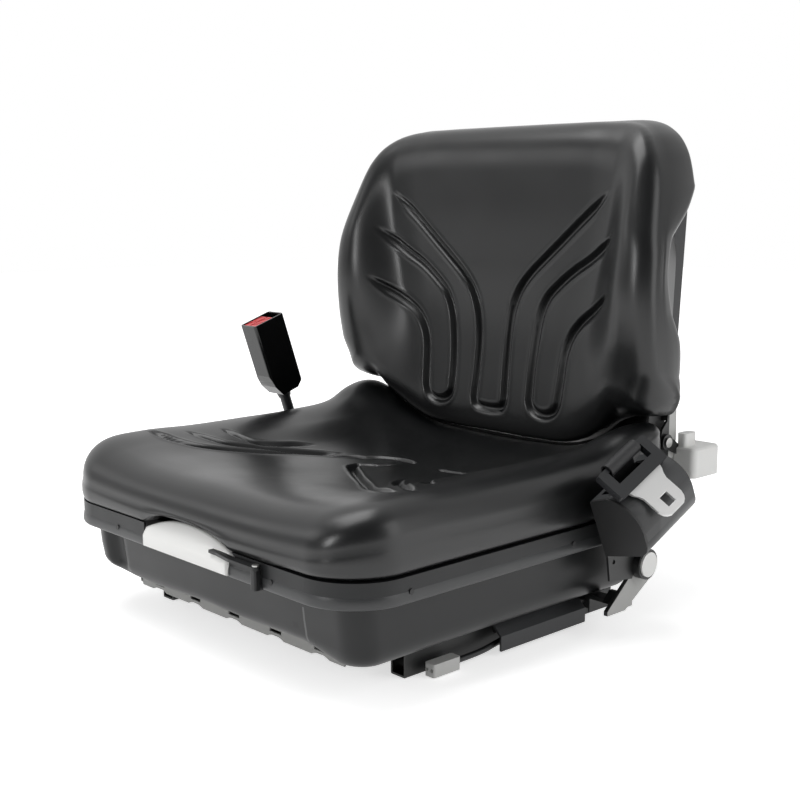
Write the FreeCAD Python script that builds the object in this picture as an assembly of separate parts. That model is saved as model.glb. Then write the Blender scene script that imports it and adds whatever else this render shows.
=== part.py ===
"""Tractor suspension seat: slide rails, scissor suspension, pan, cushions, backrest, seat belt.

Frame: the seat faces -Y, the occupant's left is +X, +Z is up, and z = 0 is the floor.
The origin is the centre of the four floor bolt holes. Millimetres throughout.
"""
import FreeCAD, Part
import math
import os

V = FreeCAD.Vector

# Base
base_half_width = 183.0
base_lead = 79.5              # roller axle to the base's front edge
base_rear = 160.0
flange_low = 25.0             # lower edge of the base's front flange
flange_top = 36.0

# Slide rails
rail_inset = 10.0             # base's side edge to a rail's centre
rail_gauge = 2 * (base_half_width - rail_inset)
bolt_pitch = 200.0            # between the front and rear floor holes
floor_hole_r = 4.5
rail_width = 20.0
rail_height = 24.0
rail_wall = 2.0
rail_slot = 9.0               # gap between the rail's lips
rail_front_left = -122.0
rail_front_right = -152.0
rail_rear = 190.0
slider_clear = 0.5            # between the slider's foot and the rail
slider_front = -100.0
slider_rear = 150.0
slider_neck = 6.0
slider_cap = 3.0
slider_rise = 0.6             # slider cap above the rail's lips
latch_pitch = 12.0

# Suspension
stroke = 50.0
sheet = 2.0                   # thickness of the pressed steel base
channel_lead = 11.5           # roller axle to the front end of the lower channels
arm_length = 245.0            # pivot to roller axle
arm_height = 16.0
arm_thick = 5.0
arm_gap = 5.0                 # between the inner and the outer arm
outer_arm_inset = 25.0        # base's side edge to the outer arm
outer_arm_x = base_half_width - outer_arm_inset
pivot_y = 130.0               # both fixed pivots stand one above the other
base_pivot_z = 38.0
top_pivot_z = 102.0
pin_r = 4.0
pin_clear = 0.05
roller_r = 8.0
roller_width = 9.0
roller_clear = 0.4
lip_thick = 1.5               # lip that holds the lower rollers down
tie_r = 3.4                   # tie rod between the outer arms
centre_clear = 0.6            # the scissor's centre pin in its outer hole
top_sheet = 2.5
top_inset = 7.0               # base's side edge to the top frame's edge
top_half_width = base_half_width - top_inset
top_lead = 78.5               # roller axle to the top frame's front edge
top_rear = 150.0

# Pan and seat cushion
pan_half_width = 240.0
pan_lead = 133.5              # roller axle to the pan's front
pan_rear = 200.0
pan_corner = 60.0
rim_bottom = 100.0
rim_top = 123.0
rim_depth = 17.5              # outer face to inner face of the folded rim
pan_wall = 2.5
seat_gap = 0.3                # soft piece to the piece that carries it
cushion_rear = 212.0
recess_centre_x = -5.0
recess_half = 90.0
recess_foot_z = 117.0
recess_rise = 25.0
recess_depth = 18.0

# Gaiter
gaiter_inset = 18.0
gaiter_wall = 1.8
gaiter_corner = 32.0
gaiter_hem_z = 40.0
gaiter_knee_z = 55.0
gaiter_hem_over = 14.0        # hem outside the base's side edge
gaiter_knee_out = 3.5         # knee outside the line from hem to top
gaiter_hem_inset = 43.0       # front
gaiter_knee_inset = 27.0
gaiter_rear_inset = 8.0

# Backrest
hinge_y = 232.0
hinge_z = 150.0
hinge_pin_r = 5.0
bracket_inset = 34.0          # pan's side to the hinge bracket
bracket_x = pan_half_width - bracket_inset
bracket_thick = 4.0
back_tilt = 4.0               # degrees the backrest leans at rest
back_datum_y = 246.0
back_datum_z = 250.0
back_over = 3.0               # back cushion wider than the pan, each side
back_half_width = pan_half_width + back_over
back_bottom = 169.0
back_top = 526.0
shell_clear = 3.0             # rear shell to the hinge bracket
shell_half_width = bracket_x - shell_clear
shell_depth = 30.0
shell_wall = 2.5

# Seat belt
reel_tilt = 24.5              # degrees the reel's axis rises towards the rear
cover_near = 121.0            # along the reel's axis
cover_far = 205.0
anchor_gap = 6.5              # pan's side to the belt bracket
anchor_x = pan_half_width + anchor_gap
strap_thick = 5.0
cover_back_x = anchor_x + strap_thick + 0.8
cover_deep = 57.2
cover_wall = 2.5
cap_thick = 3.0
reel_x = cover_back_x + 31.8
reel_v = 82.0
reel_r = 20.0
reel_shaft_r = 4.0
anchor_y = 147.0
anchor_z = 73.5
foot_inset = 15.0             # base's side edge to the belt feet's inner end
foot_front = 121.0
foot_rear = 136.0
guide_x = cover_back_x + 15.7
guide_v = 143.5
guide_turn = 42.0             # degrees the guide leans outward and down
guide_near = 119.5
guide_far = 196.5
guide_deep = 33.0
tongue_thick = 3.0
webbing_thick = 1.5
stalk_lean = 19.0             # degrees the buckle leans forward
stalk_gap = 15.5              # belt bracket plane to the stalk
stalk_x = -anchor_x - stalk_gap
stalk_y = 136.7
stalk_z = 50.0
stalk_length = 260.0
buckle_height = 98.0
buckle_half_p = 23.5
buckle_half_x = 15.0
buckle_foot = 18.5            # half length of the buckle bracket's foot

# Levers
paddle_gap = 22.0             # base's side edge to the paddle's outer face
paddle_x = base_half_width + paddle_gap
paddle_front = -13.0
paddle_rear = 118.0
paddle_low = 4.5
paddle_crease = 20.0
lever_rod_gap = 7.5           # base's side edge to the lever rod
lever_rod_x = base_half_width + lever_rod_gap
lever_rod_z = 22.5
lever_rod_r = 3.5
grip_half = 63.5
grip_centre_x = -8.5
grip_low = 100.0
grip_rise = 34.0
grip_end = 18.0               # height of the grip's two ends
grip_proud = 4.0              # grip's front ahead of the pan
swing_x = 118.0
swing_proud = 5.0             # handle pin ahead of the pan
handle_arm_z = 117.0
handle_pin_r = 1.8

# Switch lead
lead_r = 3.0
lead_route = [
    (base_half_width + 10.0, 28.0, 12.0),
    (base_half_width + 10.0, 10.0, 12.0),
    (base_half_width + 11.0, -8.0, 10.0),
    (base_half_width + 12.4, -27.0, 7.8),
    (base_half_width + 12.6, -47.0, 7.0),
    (base_half_width + 12.6, -67.0, 7.0),
]

os.makedirs("parts", exist_ok=True)
made = {}


def box(x0, x1, y0, y1, z0, z1):
    """Box between two corners given in any order."""
    low = V(min(x0, x1), min(y0, y1), min(z0, z1))
    return Part.makeBox(abs(x1 - x0), abs(y1 - y0), abs(z1 - z0), low)


def rod(x, y, z, radius, length, axis):
    """Cylinder from a point along an axis."""
    return Part.makeCylinder(radius, length, V(x, y, z), V(*axis))


def rod_x(x0, x1, y, z, radius):
    """Cylinder along X."""
    return rod(min(x0, x1), y, z, radius, abs(x1 - x0), (1, 0, 0))


def rod_y(x, y0, y1, z, radius):
    """Cylinder along Y."""
    return rod(x, min(y0, y1), z, radius, abs(y1 - y0), (0, 1, 0))


def rod_z(x, y, z0, z1, radius):
    """Cylinder along Z."""
    return rod(x, y, min(z0, z1), radius, abs(z1 - z0), (0, 0, 1))


def prism(points, axis, start, end):
    """Closed outline in the plane across an axis, pushed from start to end.

    The outline's pairs are (y, z) for axis x, (x, z) for axis y and (x, y) for axis z.
    """
    place = {
        "x": lambda a, b: V(start, a, b),
        "y": lambda a, b: V(a, start, b),
        "z": lambda a, b: V(a, b, start),
    }[axis]
    push = {"x": V(1, 0, 0), "y": V(0, 1, 0), "z": V(0, 0, 1)}[axis] * (end - start)
    corners = [place(a, b) for a, b in points]
    corners.append(corners[0])
    return Part.Face(Part.makePolygon(corners)).extrude(push)


def face_of(edges):
    """Face inside a closed loop of edges."""
    return Part.Face(Part.Wire(edges))


def round_plate(x0, x1, y0, y1, z0, z1, radius):
    """Box with its four upright edges rounded."""
    block = box(x0, x1, y0, y1, z0, z1)
    upright = [e for e in block.Edges if abs(e.tangentAt(e.FirstParameter).z) > 0.99]
    return block.makeFillet(radius, upright)


def mirror_x(shape):
    """Copy of a shape on the other side of the centre plane."""
    return shape.mirror(V(0, 0, 0), V(1, 0, 0))


def both_sides(shape):
    """A shape and its mirror image as one group of separate solids."""
    return Part.makeCompound([shape, mirror_x(shape)])


def turned_x(shape, degrees, y=0.0, z=0.0):
    """Copy of a shape turned about a line along X."""
    copy = shape.copy()
    copy.rotate(V(0, y, z), V(1, 0, 0), degrees)
    return copy


def save(node, shape):
    """Write one sub-part."""
    solids = shape.Solids
    made[node] = Part.makeCompound(solids) if len(solids) > 1 else solids[0]
    made[node].exportStep("parts/" + node + ".step")


# Floor rails and sliders

rail_centre = rail_gauge / 2
slider_foot_z = rail_wall + slider_clear
slider_foot_top = rail_height - rail_wall - slider_clear
base_z = rail_height + slider_rise + slider_cap


def floor_rail(front):
    """Lipped channel with two bolt holes, a stop tab and latch windows."""
    half = rail_width / 2
    lip = (rail_width - rail_slot) / 2
    outline = [
        (-half, 0),
        (half, 0),
        (half, rail_height),
        (half - lip, rail_height),
        (half - lip, rail_height - rail_wall),
        (half - rail_wall, rail_height - rail_wall),
        (half - rail_wall, rail_wall),
        (rail_wall - half, rail_wall),
        (rail_wall - half, rail_height - rail_wall),
        (lip - half, rail_height - rail_wall),
        (lip - half, rail_height),
        (-half, rail_height),
    ]
    rail = prism(outline, "y", front, rail_rear)
    low_edges = [
        e for e in rail.Edges
        if abs(e.CenterOfMass.z) < 0.01 and abs(abs(e.CenterOfMass.x) - half) < 0.01
    ]
    rail = rail.makeFillet(1.5, low_edges)
    for y in (-bolt_pitch / 2, bolt_pitch / 2):
        rail = rail.cut(rod_z(0, y, -1, rail_wall + 1, floor_hole_r))
    window = latch_pitch / 2
    for step in range(9):
        y = 16 + latch_pitch * step
        rail = rail.cut(box(half - rail_wall - 1, half + 1, y, y + window, 10, 17))
    return rail


def slider():
    """Inner rail: an inverted channel foot, a neck through the slot and a cap."""
    foot_half = rail_width / 2 - rail_wall - slider_clear
    leg = 2.0
    foot = box(-foot_half, foot_half, slider_front, slider_rear, slider_foot_z, slider_foot_top)
    hollow_half = foot_half - leg
    foot = foot.cut(box(-hollow_half, hollow_half, slider_front - 1, slider_rear + 1,
                        0, slider_foot_top - 3))
    neck_half = slider_neck / 2
    cap_low = base_z - slider_cap
    neck = box(-neck_half, neck_half, slider_front, slider_rear, slider_foot_top - 1, cap_low)
    cap = box(-rail_width / 2, rail_width / 2, slider_front, slider_rear, cap_low, base_z)
    return foot.fuse([neck, cap]).removeSplitter()


def place_x(shape, x):
    """Copy of a shape moved along X."""
    copy = shape.copy()
    copy.translate(V(x, 0, 0))
    return copy


def make_rails():
    """Both floor rails and both sliders."""
    save("lower_rail_left", place_x(floor_rail(rail_front_left), rail_centre))
    save("lower_rail_right", mirror_x(place_x(floor_rail(rail_front_right), rail_centre)))
    save("slider_left", place_x(slider(), rail_centre))
    save("slider_right", place_x(slider(), -rail_centre))


# Scissor suspension

base_top = base_z + sheet
rise = top_pivot_z - base_pivot_z
arm_angle = math.degrees(math.asin(rise / arm_length))
arm_reach = arm_length * math.cos(math.radians(arm_angle))
roller_y = pivot_y - arm_reach
base_front = roller_y - base_lead
channel_front = roller_y - channel_lead
top_front = roller_y - top_lead
gearbox_rear = roller_y - 36.5
gearbox_front = roller_y - 68.5
pan_front = roller_y - pan_lead
grip_front = pan_front - grip_proud
swing_y = pan_front - swing_proud
centre_y = pivot_y - arm_reach / 2
centre_z = (base_pivot_z + top_pivot_z) / 2
inner_arm_x = outer_arm_x - arm_thick - arm_gap
top_low = top_pivot_z + roller_r + roller_clear
top_high = top_low + top_sheet
pan_floor = top_high + sheet
tube_r = 8.0
ear_thick = 3.0
spring_x = 40.0
spring_z = top_pivot_z - 12.0
spring_hook_y = pivot_y
yoke_y = -62.0
damper_x = 75.0
damper_base_y = -95.0
damper_base_z = 41.0
damper_top_y = 95.0
damper_top_z = damper_base_z + 57.0
damper_pin_r = 4.0
damper_eye_clear = 1.2
damper_eye_lead = 0.8         # the rod is set short, half of its error over the stroke
ear_x = outer_arm_x + arm_thick / 2 + 1.0
inner_ear_x = inner_arm_x - arm_thick / 2 - 1.0 - ear_thick


def front_flange():
    """Upright flange across the base's front with a scalloped edge and small windows."""
    half = base_half_width - 13
    flange = box(-half, half, base_front, base_front + sheet, flange_low, flange_top)
    count = 5
    pitch = 2 * half / count
    cuts = []
    for i in range(count):
        x = -half + pitch * (i + 0.5)
        cuts.append(rod_y(x, base_front - 1, base_front + sheet + 1, flange_low - 26, 29))
        cuts.append(box(x - 9, x + 9, base_front - 1, base_front + sheet + 1,
                        base_top + 1, flange_top - 2))
    return flange.cut(cuts)


def make_base():
    """Pressed base with pivot ears, roller channels, ribs and lightening holes."""
    plate = round_plate(-base_half_width, base_half_width, base_front, base_rear,
                        base_z, base_top, 12)
    holes = [rod_z(x, y, 0, 60, 21) for x in (-60, 0, 60) for y in (-40, 60)]
    plate = plate.cut(Part.makeCompound(holes))
    pieces = []
    channel_y0 = roller_y - 18
    channel_y1 = roller_y + 16
    lip_low = base_pivot_z + roller_r + roller_clear
    inner_end = inner_arm_x - arm_thick / 2 - 0.5
    roller_x0 = inner_end - roller_width
    lip = box(roller_x0 - 1.5, inner_end - 1, channel_front, channel_y1, lip_low, lip_low + lip_thick)
    wall = box(roller_x0 - 1.5 - sheet, roller_x0 - 1.5, channel_front, channel_y1,
               base_top - 0.5, lip_low + lip_thick)
    pieces += [lip, wall]
    ear = prism([(pivot_y - 14, base_top - 0.5), (pivot_y + 14, base_top - 0.5),
                 (pivot_y + 8, base_pivot_z + 8), (pivot_y - 8, base_pivot_z + 8)],
                "x", ear_x, ear_x + ear_thick)
    pieces.append(ear.cut(rod_x(ear_x - 1, ear_x + ear_thick + 1, pivot_y, base_pivot_z, pin_r)))
    side = pieces[0].fuse(pieces[1:])
    flange = front_flange()
    base = plate.fuse([side, mirror_x(side), flange])
    clevis_gap = 5.2
    for x in (damper_x - clevis_gap - ear_thick, damper_x + clevis_gap):
        tab = prism([(damper_base_y - 9, base_top - 0.5), (damper_base_y + 9, base_top - 0.5),
                     (damper_base_y + 5, damper_base_z + 6), (damper_base_y - 5, damper_base_z + 6)],
                    "x", x, x + ear_thick)
        base = base.fuse(tab.cut(rod_x(x - 1, x + ear_thick + 1, damper_base_y,
                                       damper_base_z, damper_pin_r)))
    hinge_tabs = []
    ring_r = lever_rod_r + 1.8
    inner_x = base_half_width + 0.4
    for y in (paddle_front + 14, paddle_rear - 22):
        tab = prism([(inner_x, base_top), (inner_x, lever_rod_z), (lever_rod_x, lever_rod_z),
                     (lever_rod_x, base_z), (lever_rod_x - 2, base_top)], "y", y, y + 8)
        tab = tab.fuse(rod_y(lever_rod_x, y, y + 8, lever_rod_z, ring_r))
        tab = tab.fuse(box(base_half_width - 1, inner_x + 1, y, y + 8, base_z, base_top))
        hinge_tabs.append(tab.cut(rod_y(lever_rod_x, y - 1, y + 9, lever_rod_z,
                                        lever_rod_r + pin_clear)))
    y0 = paddle_rear + 14
    y1 = y0 + 26
    block = box(base_half_width - 1, lever_rod_x + 9, y0, y1, base_z, base_top)
    block = block.fuse(box(lever_rod_x + 7, lever_rod_x + 9, y0, y1, 10, base_top))
    block = block.fuse(box(inner_x, lever_rod_x + 8, y0, y0 + 3, 14, base_top))
    hinge_tabs.append(block.cut(rod_y(lever_rod_x, y0 - 1, y1, lever_rod_z,
                                      lever_rod_r + pin_clear)))
    base = base.fuse(hinge_tabs).removeSplitter()
    save("base_frame", base)


def arm_bar(x, y0, z0, y1, z1, thick, radius_height):
    """Flat bar with round ends between two pivots, in a plane across X."""
    length = math.hypot(y1 - y0, z1 - z0)
    half = radius_height / 2
    bar = box(x - thick / 2, x + thick / 2, 0, length, -half, half)
    bar = bar.fuse([rod_x(x - thick / 2, x + thick / 2, 0, 0, half),
                    rod_x(x - thick / 2, x + thick / 2, length, 0, half)]).removeSplitter()
    bar.rotate(V(0, 0, 0), V(1, 0, 0), math.degrees(math.atan2(z1 - z0, y1 - y0)))
    bar.translate(V(0, y0, z0))
    return bar


def make_arms():
    """Outer arms with their top axle, inner arms with their torsion tube and spring levers."""
    outer = arm_bar(outer_arm_x, pivot_y, base_pivot_z, roller_y, top_pivot_z,
                    arm_thick, arm_height)
    bore = pin_r + pin_clear
    outer = outer.cut(rod_x(outer_arm_x - 9, outer_arm_x + 9, pivot_y, base_pivot_z, bore))
    outer = outer.cut(rod_x(outer_arm_x - 9, outer_arm_x + 9, centre_y, centre_z,
                            pin_r + centre_clear))
    roller_x0 = outer_arm_x + arm_thick / 2 + 0.5
    axle_end = roller_x0 + roller_width + 1.0
    axle = rod_x(outer_arm_x, axle_end, roller_y, top_pivot_z, pin_r)
    side = outer.fuse(axle)
    tie = rod_x(-outer_arm_x, outer_arm_x, roller_y, top_pivot_z, tie_r)
    save("outer_arms", side.fuse([mirror_x(side), tie]).removeSplitter())
    rollers = []
    for x in (roller_x0, -roller_x0 - roller_width):
        wheel = rod_x(x, x + roller_width, roller_y, top_pivot_z, roller_r)
        rollers.append(wheel.cut(rod_x(x - 1, x + roller_width + 1, roller_y, top_pivot_z, bore)))
    save("upper_rollers", Part.makeCompound(rollers))

    inner = arm_bar(inner_arm_x, pivot_y, top_pivot_z, roller_y, base_pivot_z,
                    arm_thick, arm_height)
    inner = inner.cut(rod_x(inner_arm_x - 9, inner_arm_x + 9, pivot_y, top_pivot_z, bore))
    inner = inner.cut(rod_x(inner_arm_x - 9, inner_arm_x + 9, centre_y, centre_z, pin_r))
    stub_end = inner_arm_x - arm_thick / 2 - 0.5 - roller_width - 1.0
    stub = rod_x(stub_end, inner_arm_x + arm_thick / 2, roller_y, base_pivot_z, pin_r)
    arm = inner.fuse(stub)
    tube_end = inner_ear_x - 0.5
    tube = rod_x(-tube_end, tube_end, pivot_y, top_pivot_z, tube_r)
    tube = tube.cut(rod_x(-tube_end - 1, tube_end + 1, pivot_y, top_pivot_z, bore))
    bridge = box(tube_end - 14, inner_arm_x, pivot_y - 22, pivot_y - 12,
                 top_pivot_z - 12, top_pivot_z - 3)
    strut = prism([(pivot_y - 22, top_pivot_z - 12), (pivot_y - 4, top_pivot_z - 8),
                   (pivot_y - 4, top_pivot_z + 4), (pivot_y - 22, top_pivot_z - 3)],
                  "x", tube_end - 14, tube_end - 8)
    strut = strut.cut(rod_x(tube_end - 20, tube_end + 1, pivot_y, top_pivot_z, tube_r - 2))
    levers = []
    for x in (-spring_x, spring_x):
        lever = box(x - 2, x + 2, pivot_y - 5, pivot_y + 5, spring_z - 4.5, top_pivot_z - tube_r + 3)
        levers.append(lever.cut(rod_x(x - 3, x + 3, pivot_y, spring_z, 2.2)))
    side = arm.fuse([bridge, strut])
    save("inner_arms", tube.fuse([side, mirror_x(side)] + levers).removeSplitter())
    rollers = []
    roller_x1 = inner_arm_x - arm_thick / 2 - 0.5
    for x in (roller_x1 - roller_width, -roller_x1):
        wheel = rod_x(x, x + roller_width, roller_y, base_pivot_z, roller_r)
        rollers.append(wheel.cut(rod_x(x - 1, x + roller_width + 1, roller_y, base_pivot_z, bore)))
    save("lower_rollers", Part.makeCompound(rollers))


def headed_pin(x0, x1, y, z, radius, head_x0, head_x1, head_r):
    """Pin along X with a round head."""
    return rod_x(x0, x1, y, z, radius).fuse(rod_x(head_x0, head_x1, y, z, head_r))


def make_pins():
    """Pivot pins of the scissor."""
    base_pin = headed_pin(outer_arm_x - arm_thick / 2 - 1, ear_x + ear_thick, pivot_y,
                          base_pivot_z, pin_r, ear_x + ear_thick, ear_x + ear_thick + 2.5, 6)
    save("base_pivot_pins", both_sides(base_pin))
    top_pin = headed_pin(inner_ear_x - 2.0, inner_arm_x + arm_thick / 2 + 1, pivot_y,
                         top_pivot_z, pin_r, inner_arm_x + arm_thick / 2 + 1,
                         inner_arm_x + arm_thick / 2 + 3, 5.5)
    save("top_pivot_pins", both_sides(top_pin))
    centre_end = outer_arm_x + arm_thick / 2 + 0.8
    centre_pin = headed_pin(inner_arm_x - arm_thick / 2, centre_end, centre_y, centre_z,
                            pin_r, centre_end, centre_end + 2, 6)
    save("centre_pins", both_sides(centre_pin))


def make_top():
    """Upper frame: plate, roller channels, pivot ears and damper tabs."""
    plate = round_plate(-top_half_width, top_half_width, top_front, top_rear, top_low, top_high, 15)
    holes = [rod_z(x, y, 0, 200, 21) for x in (-100, 0, 100) for y in (-20, 60)]
    plate = plate.cut(Part.makeCompound(holes))
    roller_x0 = outer_arm_x + arm_thick / 2 + 0.5
    wall_x = roller_x0 + roller_width + 1.5
    lip_top = top_pivot_z - roller_r - roller_clear
    y0 = roller_y - 18
    y1 = roller_y + 18
    wall = box(wall_x, wall_x + sheet, y0, y1, lip_top - sheet, top_low + 0.5)
    lip = box(roller_x0 + 1, wall_x + sheet, y0, y1, lip_top - sheet, lip_top)
    ear = prism([(pivot_y - 13, top_low + 0.5), (pivot_y + 13, top_low + 0.5),
                 (pivot_y + 8, top_pivot_z - 8), (pivot_y - 8, top_pivot_z - 8)],
                "x", inner_ear_x, inner_ear_x + ear_thick)
    ear = ear.cut(rod_x(inner_ear_x - 1, inner_ear_x + ear_thick + 1, pivot_y, top_pivot_z, pin_r))
    side = wall.fuse([lip, ear])
    top = plate.fuse([side, mirror_x(side)])
    clevis_gap = 5.2
    for x in (damper_x - clevis_gap - ear_thick, damper_x + clevis_gap):
        tab = prism([(damper_top_y - 9, top_low + 0.5), (damper_top_y + 9, top_low + 0.5),
                     (damper_top_y + 6, damper_top_z - 6), (damper_top_y - 6, damper_top_z - 6)],
                    "x", x, x + ear_thick)
        top = top.fuse(tab.cut(rod_x(x - 1, x + ear_thick + 1, damper_top_y,
                                     damper_top_z, damper_pin_r)))
    save("suspension_top", top.removeSplitter())


def make_springs():
    """Two tension springs as tubes, each end held by a plug with a stem."""
    outer_r = 8.5
    inner_r = 5.5
    plug = 4.0
    front = yoke_y + 4 + 6
    rear = spring_hook_y - 5 - 6
    springs = []
    for x in (-spring_x, spring_x):
        body = rod_y(x, front, rear, spring_z, outer_r)
        body = body.cut(rod_y(x, front + plug, rear - plug, spring_z, inner_r))
        stems = [rod_y(x, front - 5.7, front + 1, spring_z, 2.0),
                 rod_y(x, rear - 1, rear + 5.7, spring_z, 2.0)]
        springs.append(body.fuse(stems).removeSplitter())
    save("tension_springs", Part.makeCompound(springs))


def make_adjuster():
    """Weight adjuster: gearbox, spindle, yoke and the shaft that the handle turns."""
    yoke = round_plate(-spring_x - 9, spring_x + 9, yoke_y - 4, yoke_y + 4,
                       spring_z - 5, spring_z + 5, 3)
    yoke = yoke.cut(rod_y(0, yoke_y - 9, yoke_y + 9, spring_z, 5.1))
    save("spring_yoke", yoke)
    box_rear = gearbox_rear
    box_front = gearbox_front
    gearbox = round_plate(-26, swing_x + 16, box_front, box_rear, spring_z - 8, top_low, 6)
    boss = rod_y(swing_x, box_front - 6, box_front, spring_z + 12, 8)
    boss2 = rod_y(0, box_rear, box_rear + 6, spring_z, 9)
    gearbox = gearbox.fuse([boss, boss2])
    gearbox = gearbox.cut(rod_y(0, box_rear - 12, box_rear + 7, spring_z, 5.1))
    gearbox = gearbox.cut(rod_y(swing_x, box_front - 7, box_front + 12, spring_z + 12, 5.1))
    save("adjuster_gearbox", gearbox)
    save("adjuster_spindle", rod_y(0, box_rear - 11, yoke_y + 8, spring_z, 5.0))
    shaft = rod_y(swing_x, swing_y + 1, box_front + 11, spring_z + 12, 5.0)
    clevis = round_plate(swing_x - 3.8, swing_x + 3.8, swing_y - 3.8, swing_y + 4,
                         spring_z + 8.5, handle_arm_z, 2)
    shaft = shaft.fuse(clevis).cut(rod_z(swing_x, swing_y, spring_z + 5, spring_z + 40,
                                         handle_pin_r))
    save("adjuster_shaft", shaft)


def make_damper():
    """Damper tube on the base and rod on the top frame, along the line between their pins."""
    dy = damper_top_y - damper_base_y
    dz = damper_top_z - damper_base_z
    length = math.hypot(dy, dz)
    angle = math.degrees(math.atan2(dz, dy))
    tube_len = 104.0
    rod_start = 46.0
    eye_r = 8.5
    eye_half = 5.0

    def placed(shape):
        shape.rotate(V(0, 0, 0), V(1, 0, 0), angle)
        shape.translate(V(damper_x, damper_base_y, damper_base_z))
        return shape

    tube = rod_y(0, 14, 14 + tube_len, 0, 10)
    eye = rod_x(-eye_half, eye_half, 0, 0, eye_r).fuse(rod_y(0, 0, 15, 0, 5))
    tube = tube.fuse(eye).cut(rod_x(-9, 9, 0, 0, damper_pin_r + pin_clear))
    tube = tube.cut(rod_y(0, 22, 14 + tube_len - 4, 0, 8))
    tube = tube.cut(rod_y(0, 60, 200, 0, 4 + pin_clear))
    piston = rod_y(0, rod_start, rod_start + 8, 0, 7.95)
    eye_y = length - damper_eye_lead
    shaft = rod_y(0, rod_start + 4, eye_y - 5, 0, 4)
    end = rod_x(-eye_half, eye_half, eye_y, 0, eye_r)
    end = end.cut(rod_x(-9, 9, eye_y, 0, damper_pin_r + damper_eye_clear))
    shaft = shaft.cut(rod_x(-9, 9, eye_y, 0, eye_r - 1))
    save("damper_tube", placed(tube))
    save("damper_rod", placed(shaft.fuse([piston, end]).removeSplitter()))
    side = 5.2 + ear_thick
    pins = [
        headed_pin(damper_x - side - 1.5, damper_x + side, y, z, damper_pin_r,
                   damper_x + side, damper_x + side + 2, 6)
        for y, z in ((damper_base_y, damper_base_z), (damper_top_y, damper_top_z))
    ]
    save("damper_base_pin", pins[0])
    save("damper_top_pin", pins[1])


def make_bumps():
    """Rubber stops that meet the top frame at full stroke."""
    stop_x = inner_arm_x - 36.0
    stop_y = 20.0
    top = top_low - stroke - 0.5
    cone = Part.makeCone(11, 7, top - base_top, V(stop_x, stop_y, base_top))
    save("bump_stops", both_sides(cone))


# Pan, gaiter and seat cushion

def rounded_loop(half_width, y0, y1, z, radius):
    """Rectangle with round corners as a wire."""
    plate = round_plate(-half_width, half_width, y0, y1, z, z + 1, radius)
    low = [f for f in plate.Faces if abs(f.CenterOfMass.z - z) < 1e-6][0]
    return low.OuterWire


def recess_block(grow, y0, y1, low):
    """Arched block that the front handle's recess is cut with."""
    radius = (recess_half ** 2 + recess_rise ** 2) / (2 * recess_rise)
    centre_z = recess_foot_z + recess_rise - radius
    disc = rod_y(recess_centre_x, y0, y1, centre_z, radius + grow)
    keep = box(recess_centre_x - recess_half - grow, recess_centre_x + recess_half + grow,
               y0, y1, recess_foot_z, 200)
    skirt = box(recess_centre_x - recess_half - grow, recess_centre_x + recess_half + grow,
                y0, y1, low, recess_foot_z)
    return disc.common(keep).fuse(skirt).removeSplitter()


def make_pan():
    """Pressed seat pan with a folded rim all round and the recess for the front handle."""
    outer = round_plate(-pan_half_width, pan_half_width, pan_front, pan_rear,
                        rim_bottom, rim_top, pan_corner)
    w = pan_wall
    lower = round_plate(w - pan_half_width, pan_half_width - w, pan_front + w, pan_rear - w,
                        rim_bottom - 1, rim_top - w, pan_corner - w)
    pan = outer.cut(lower)
    d = rim_depth
    well = round_plate(d - pan_half_width, pan_half_width - d, pan_front + d, pan_rear - d,
                       pan_floor, rim_top + 1, pan_corner - d)
    pan = pan.cut(well)
    dish = round_plate(d - w - pan_half_width, pan_half_width - d + w, pan_front + d - w,
                       pan_rear - d + w, top_high, rim_top - w + 0.1, pan_corner - d + w)
    pan = pan.fuse(dish.cut(well))
    pan = pan.cut(recess_block(0, pan_front - 5, pan_front + d - w - 0.1, rim_bottom - 5))
    pan = pan.cut(rod_y(swing_x, pan_front - 5, pan_front + 5, spring_z + 12, 6.5))
    slot_half = 1.0
    for side in (-1, 1):
        x0 = side * (bracket_x - slot_half)
        x1 = side * (bracket_x + bracket_thick + slot_half)
        pan = pan.cut(box(x0, x1, pan_rear - 42, pan_rear + 5, pan_floor, rim_top + 5))
    save("seat_pan", pan.removeSplitter())


def make_gaiter():
    """Thin skirt between the pan and the base, drawn in at its hem."""
    def skin(shrink):
        loops = []
        hem_half = base_half_width + gaiter_hem_over
        top_half = pan_half_width - gaiter_inset
        knee_half = (hem_half + top_half) / 2 + gaiter_knee_out
        for half, inset, z in ((hem_half, gaiter_hem_inset, gaiter_hem_z),
                               (knee_half, gaiter_knee_inset, gaiter_knee_z),
                               (top_half, gaiter_inset, top_high - 0.2)):
            step = inset + shrink
            loops.append(rounded_loop(half - shrink, pan_front + step,
                                      pan_rear - gaiter_rear_inset - shrink, z,
                                      gaiter_corner - shrink))
        return Part.makeLoft(loops, True, True)
    gaiter = skin(0).cut(skin(gaiter_wall))
    ends = [box(-300, 300, -300, 300, gaiter_hem_z - 5, gaiter_hem_z + 0.01)]
    gaiter = gaiter.cut(ends[0])
    gaiter = gaiter.cut(rod_y(swing_x, pan_front, pan_front + 60, spring_z + 12, 7))
    save("gaiter", gaiter)


def spline(points):
    """Smooth curve through points, as an edge."""
    curve = Part.BSplineCurve()
    curve.interpolate(points)
    return curve.toShape()


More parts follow.
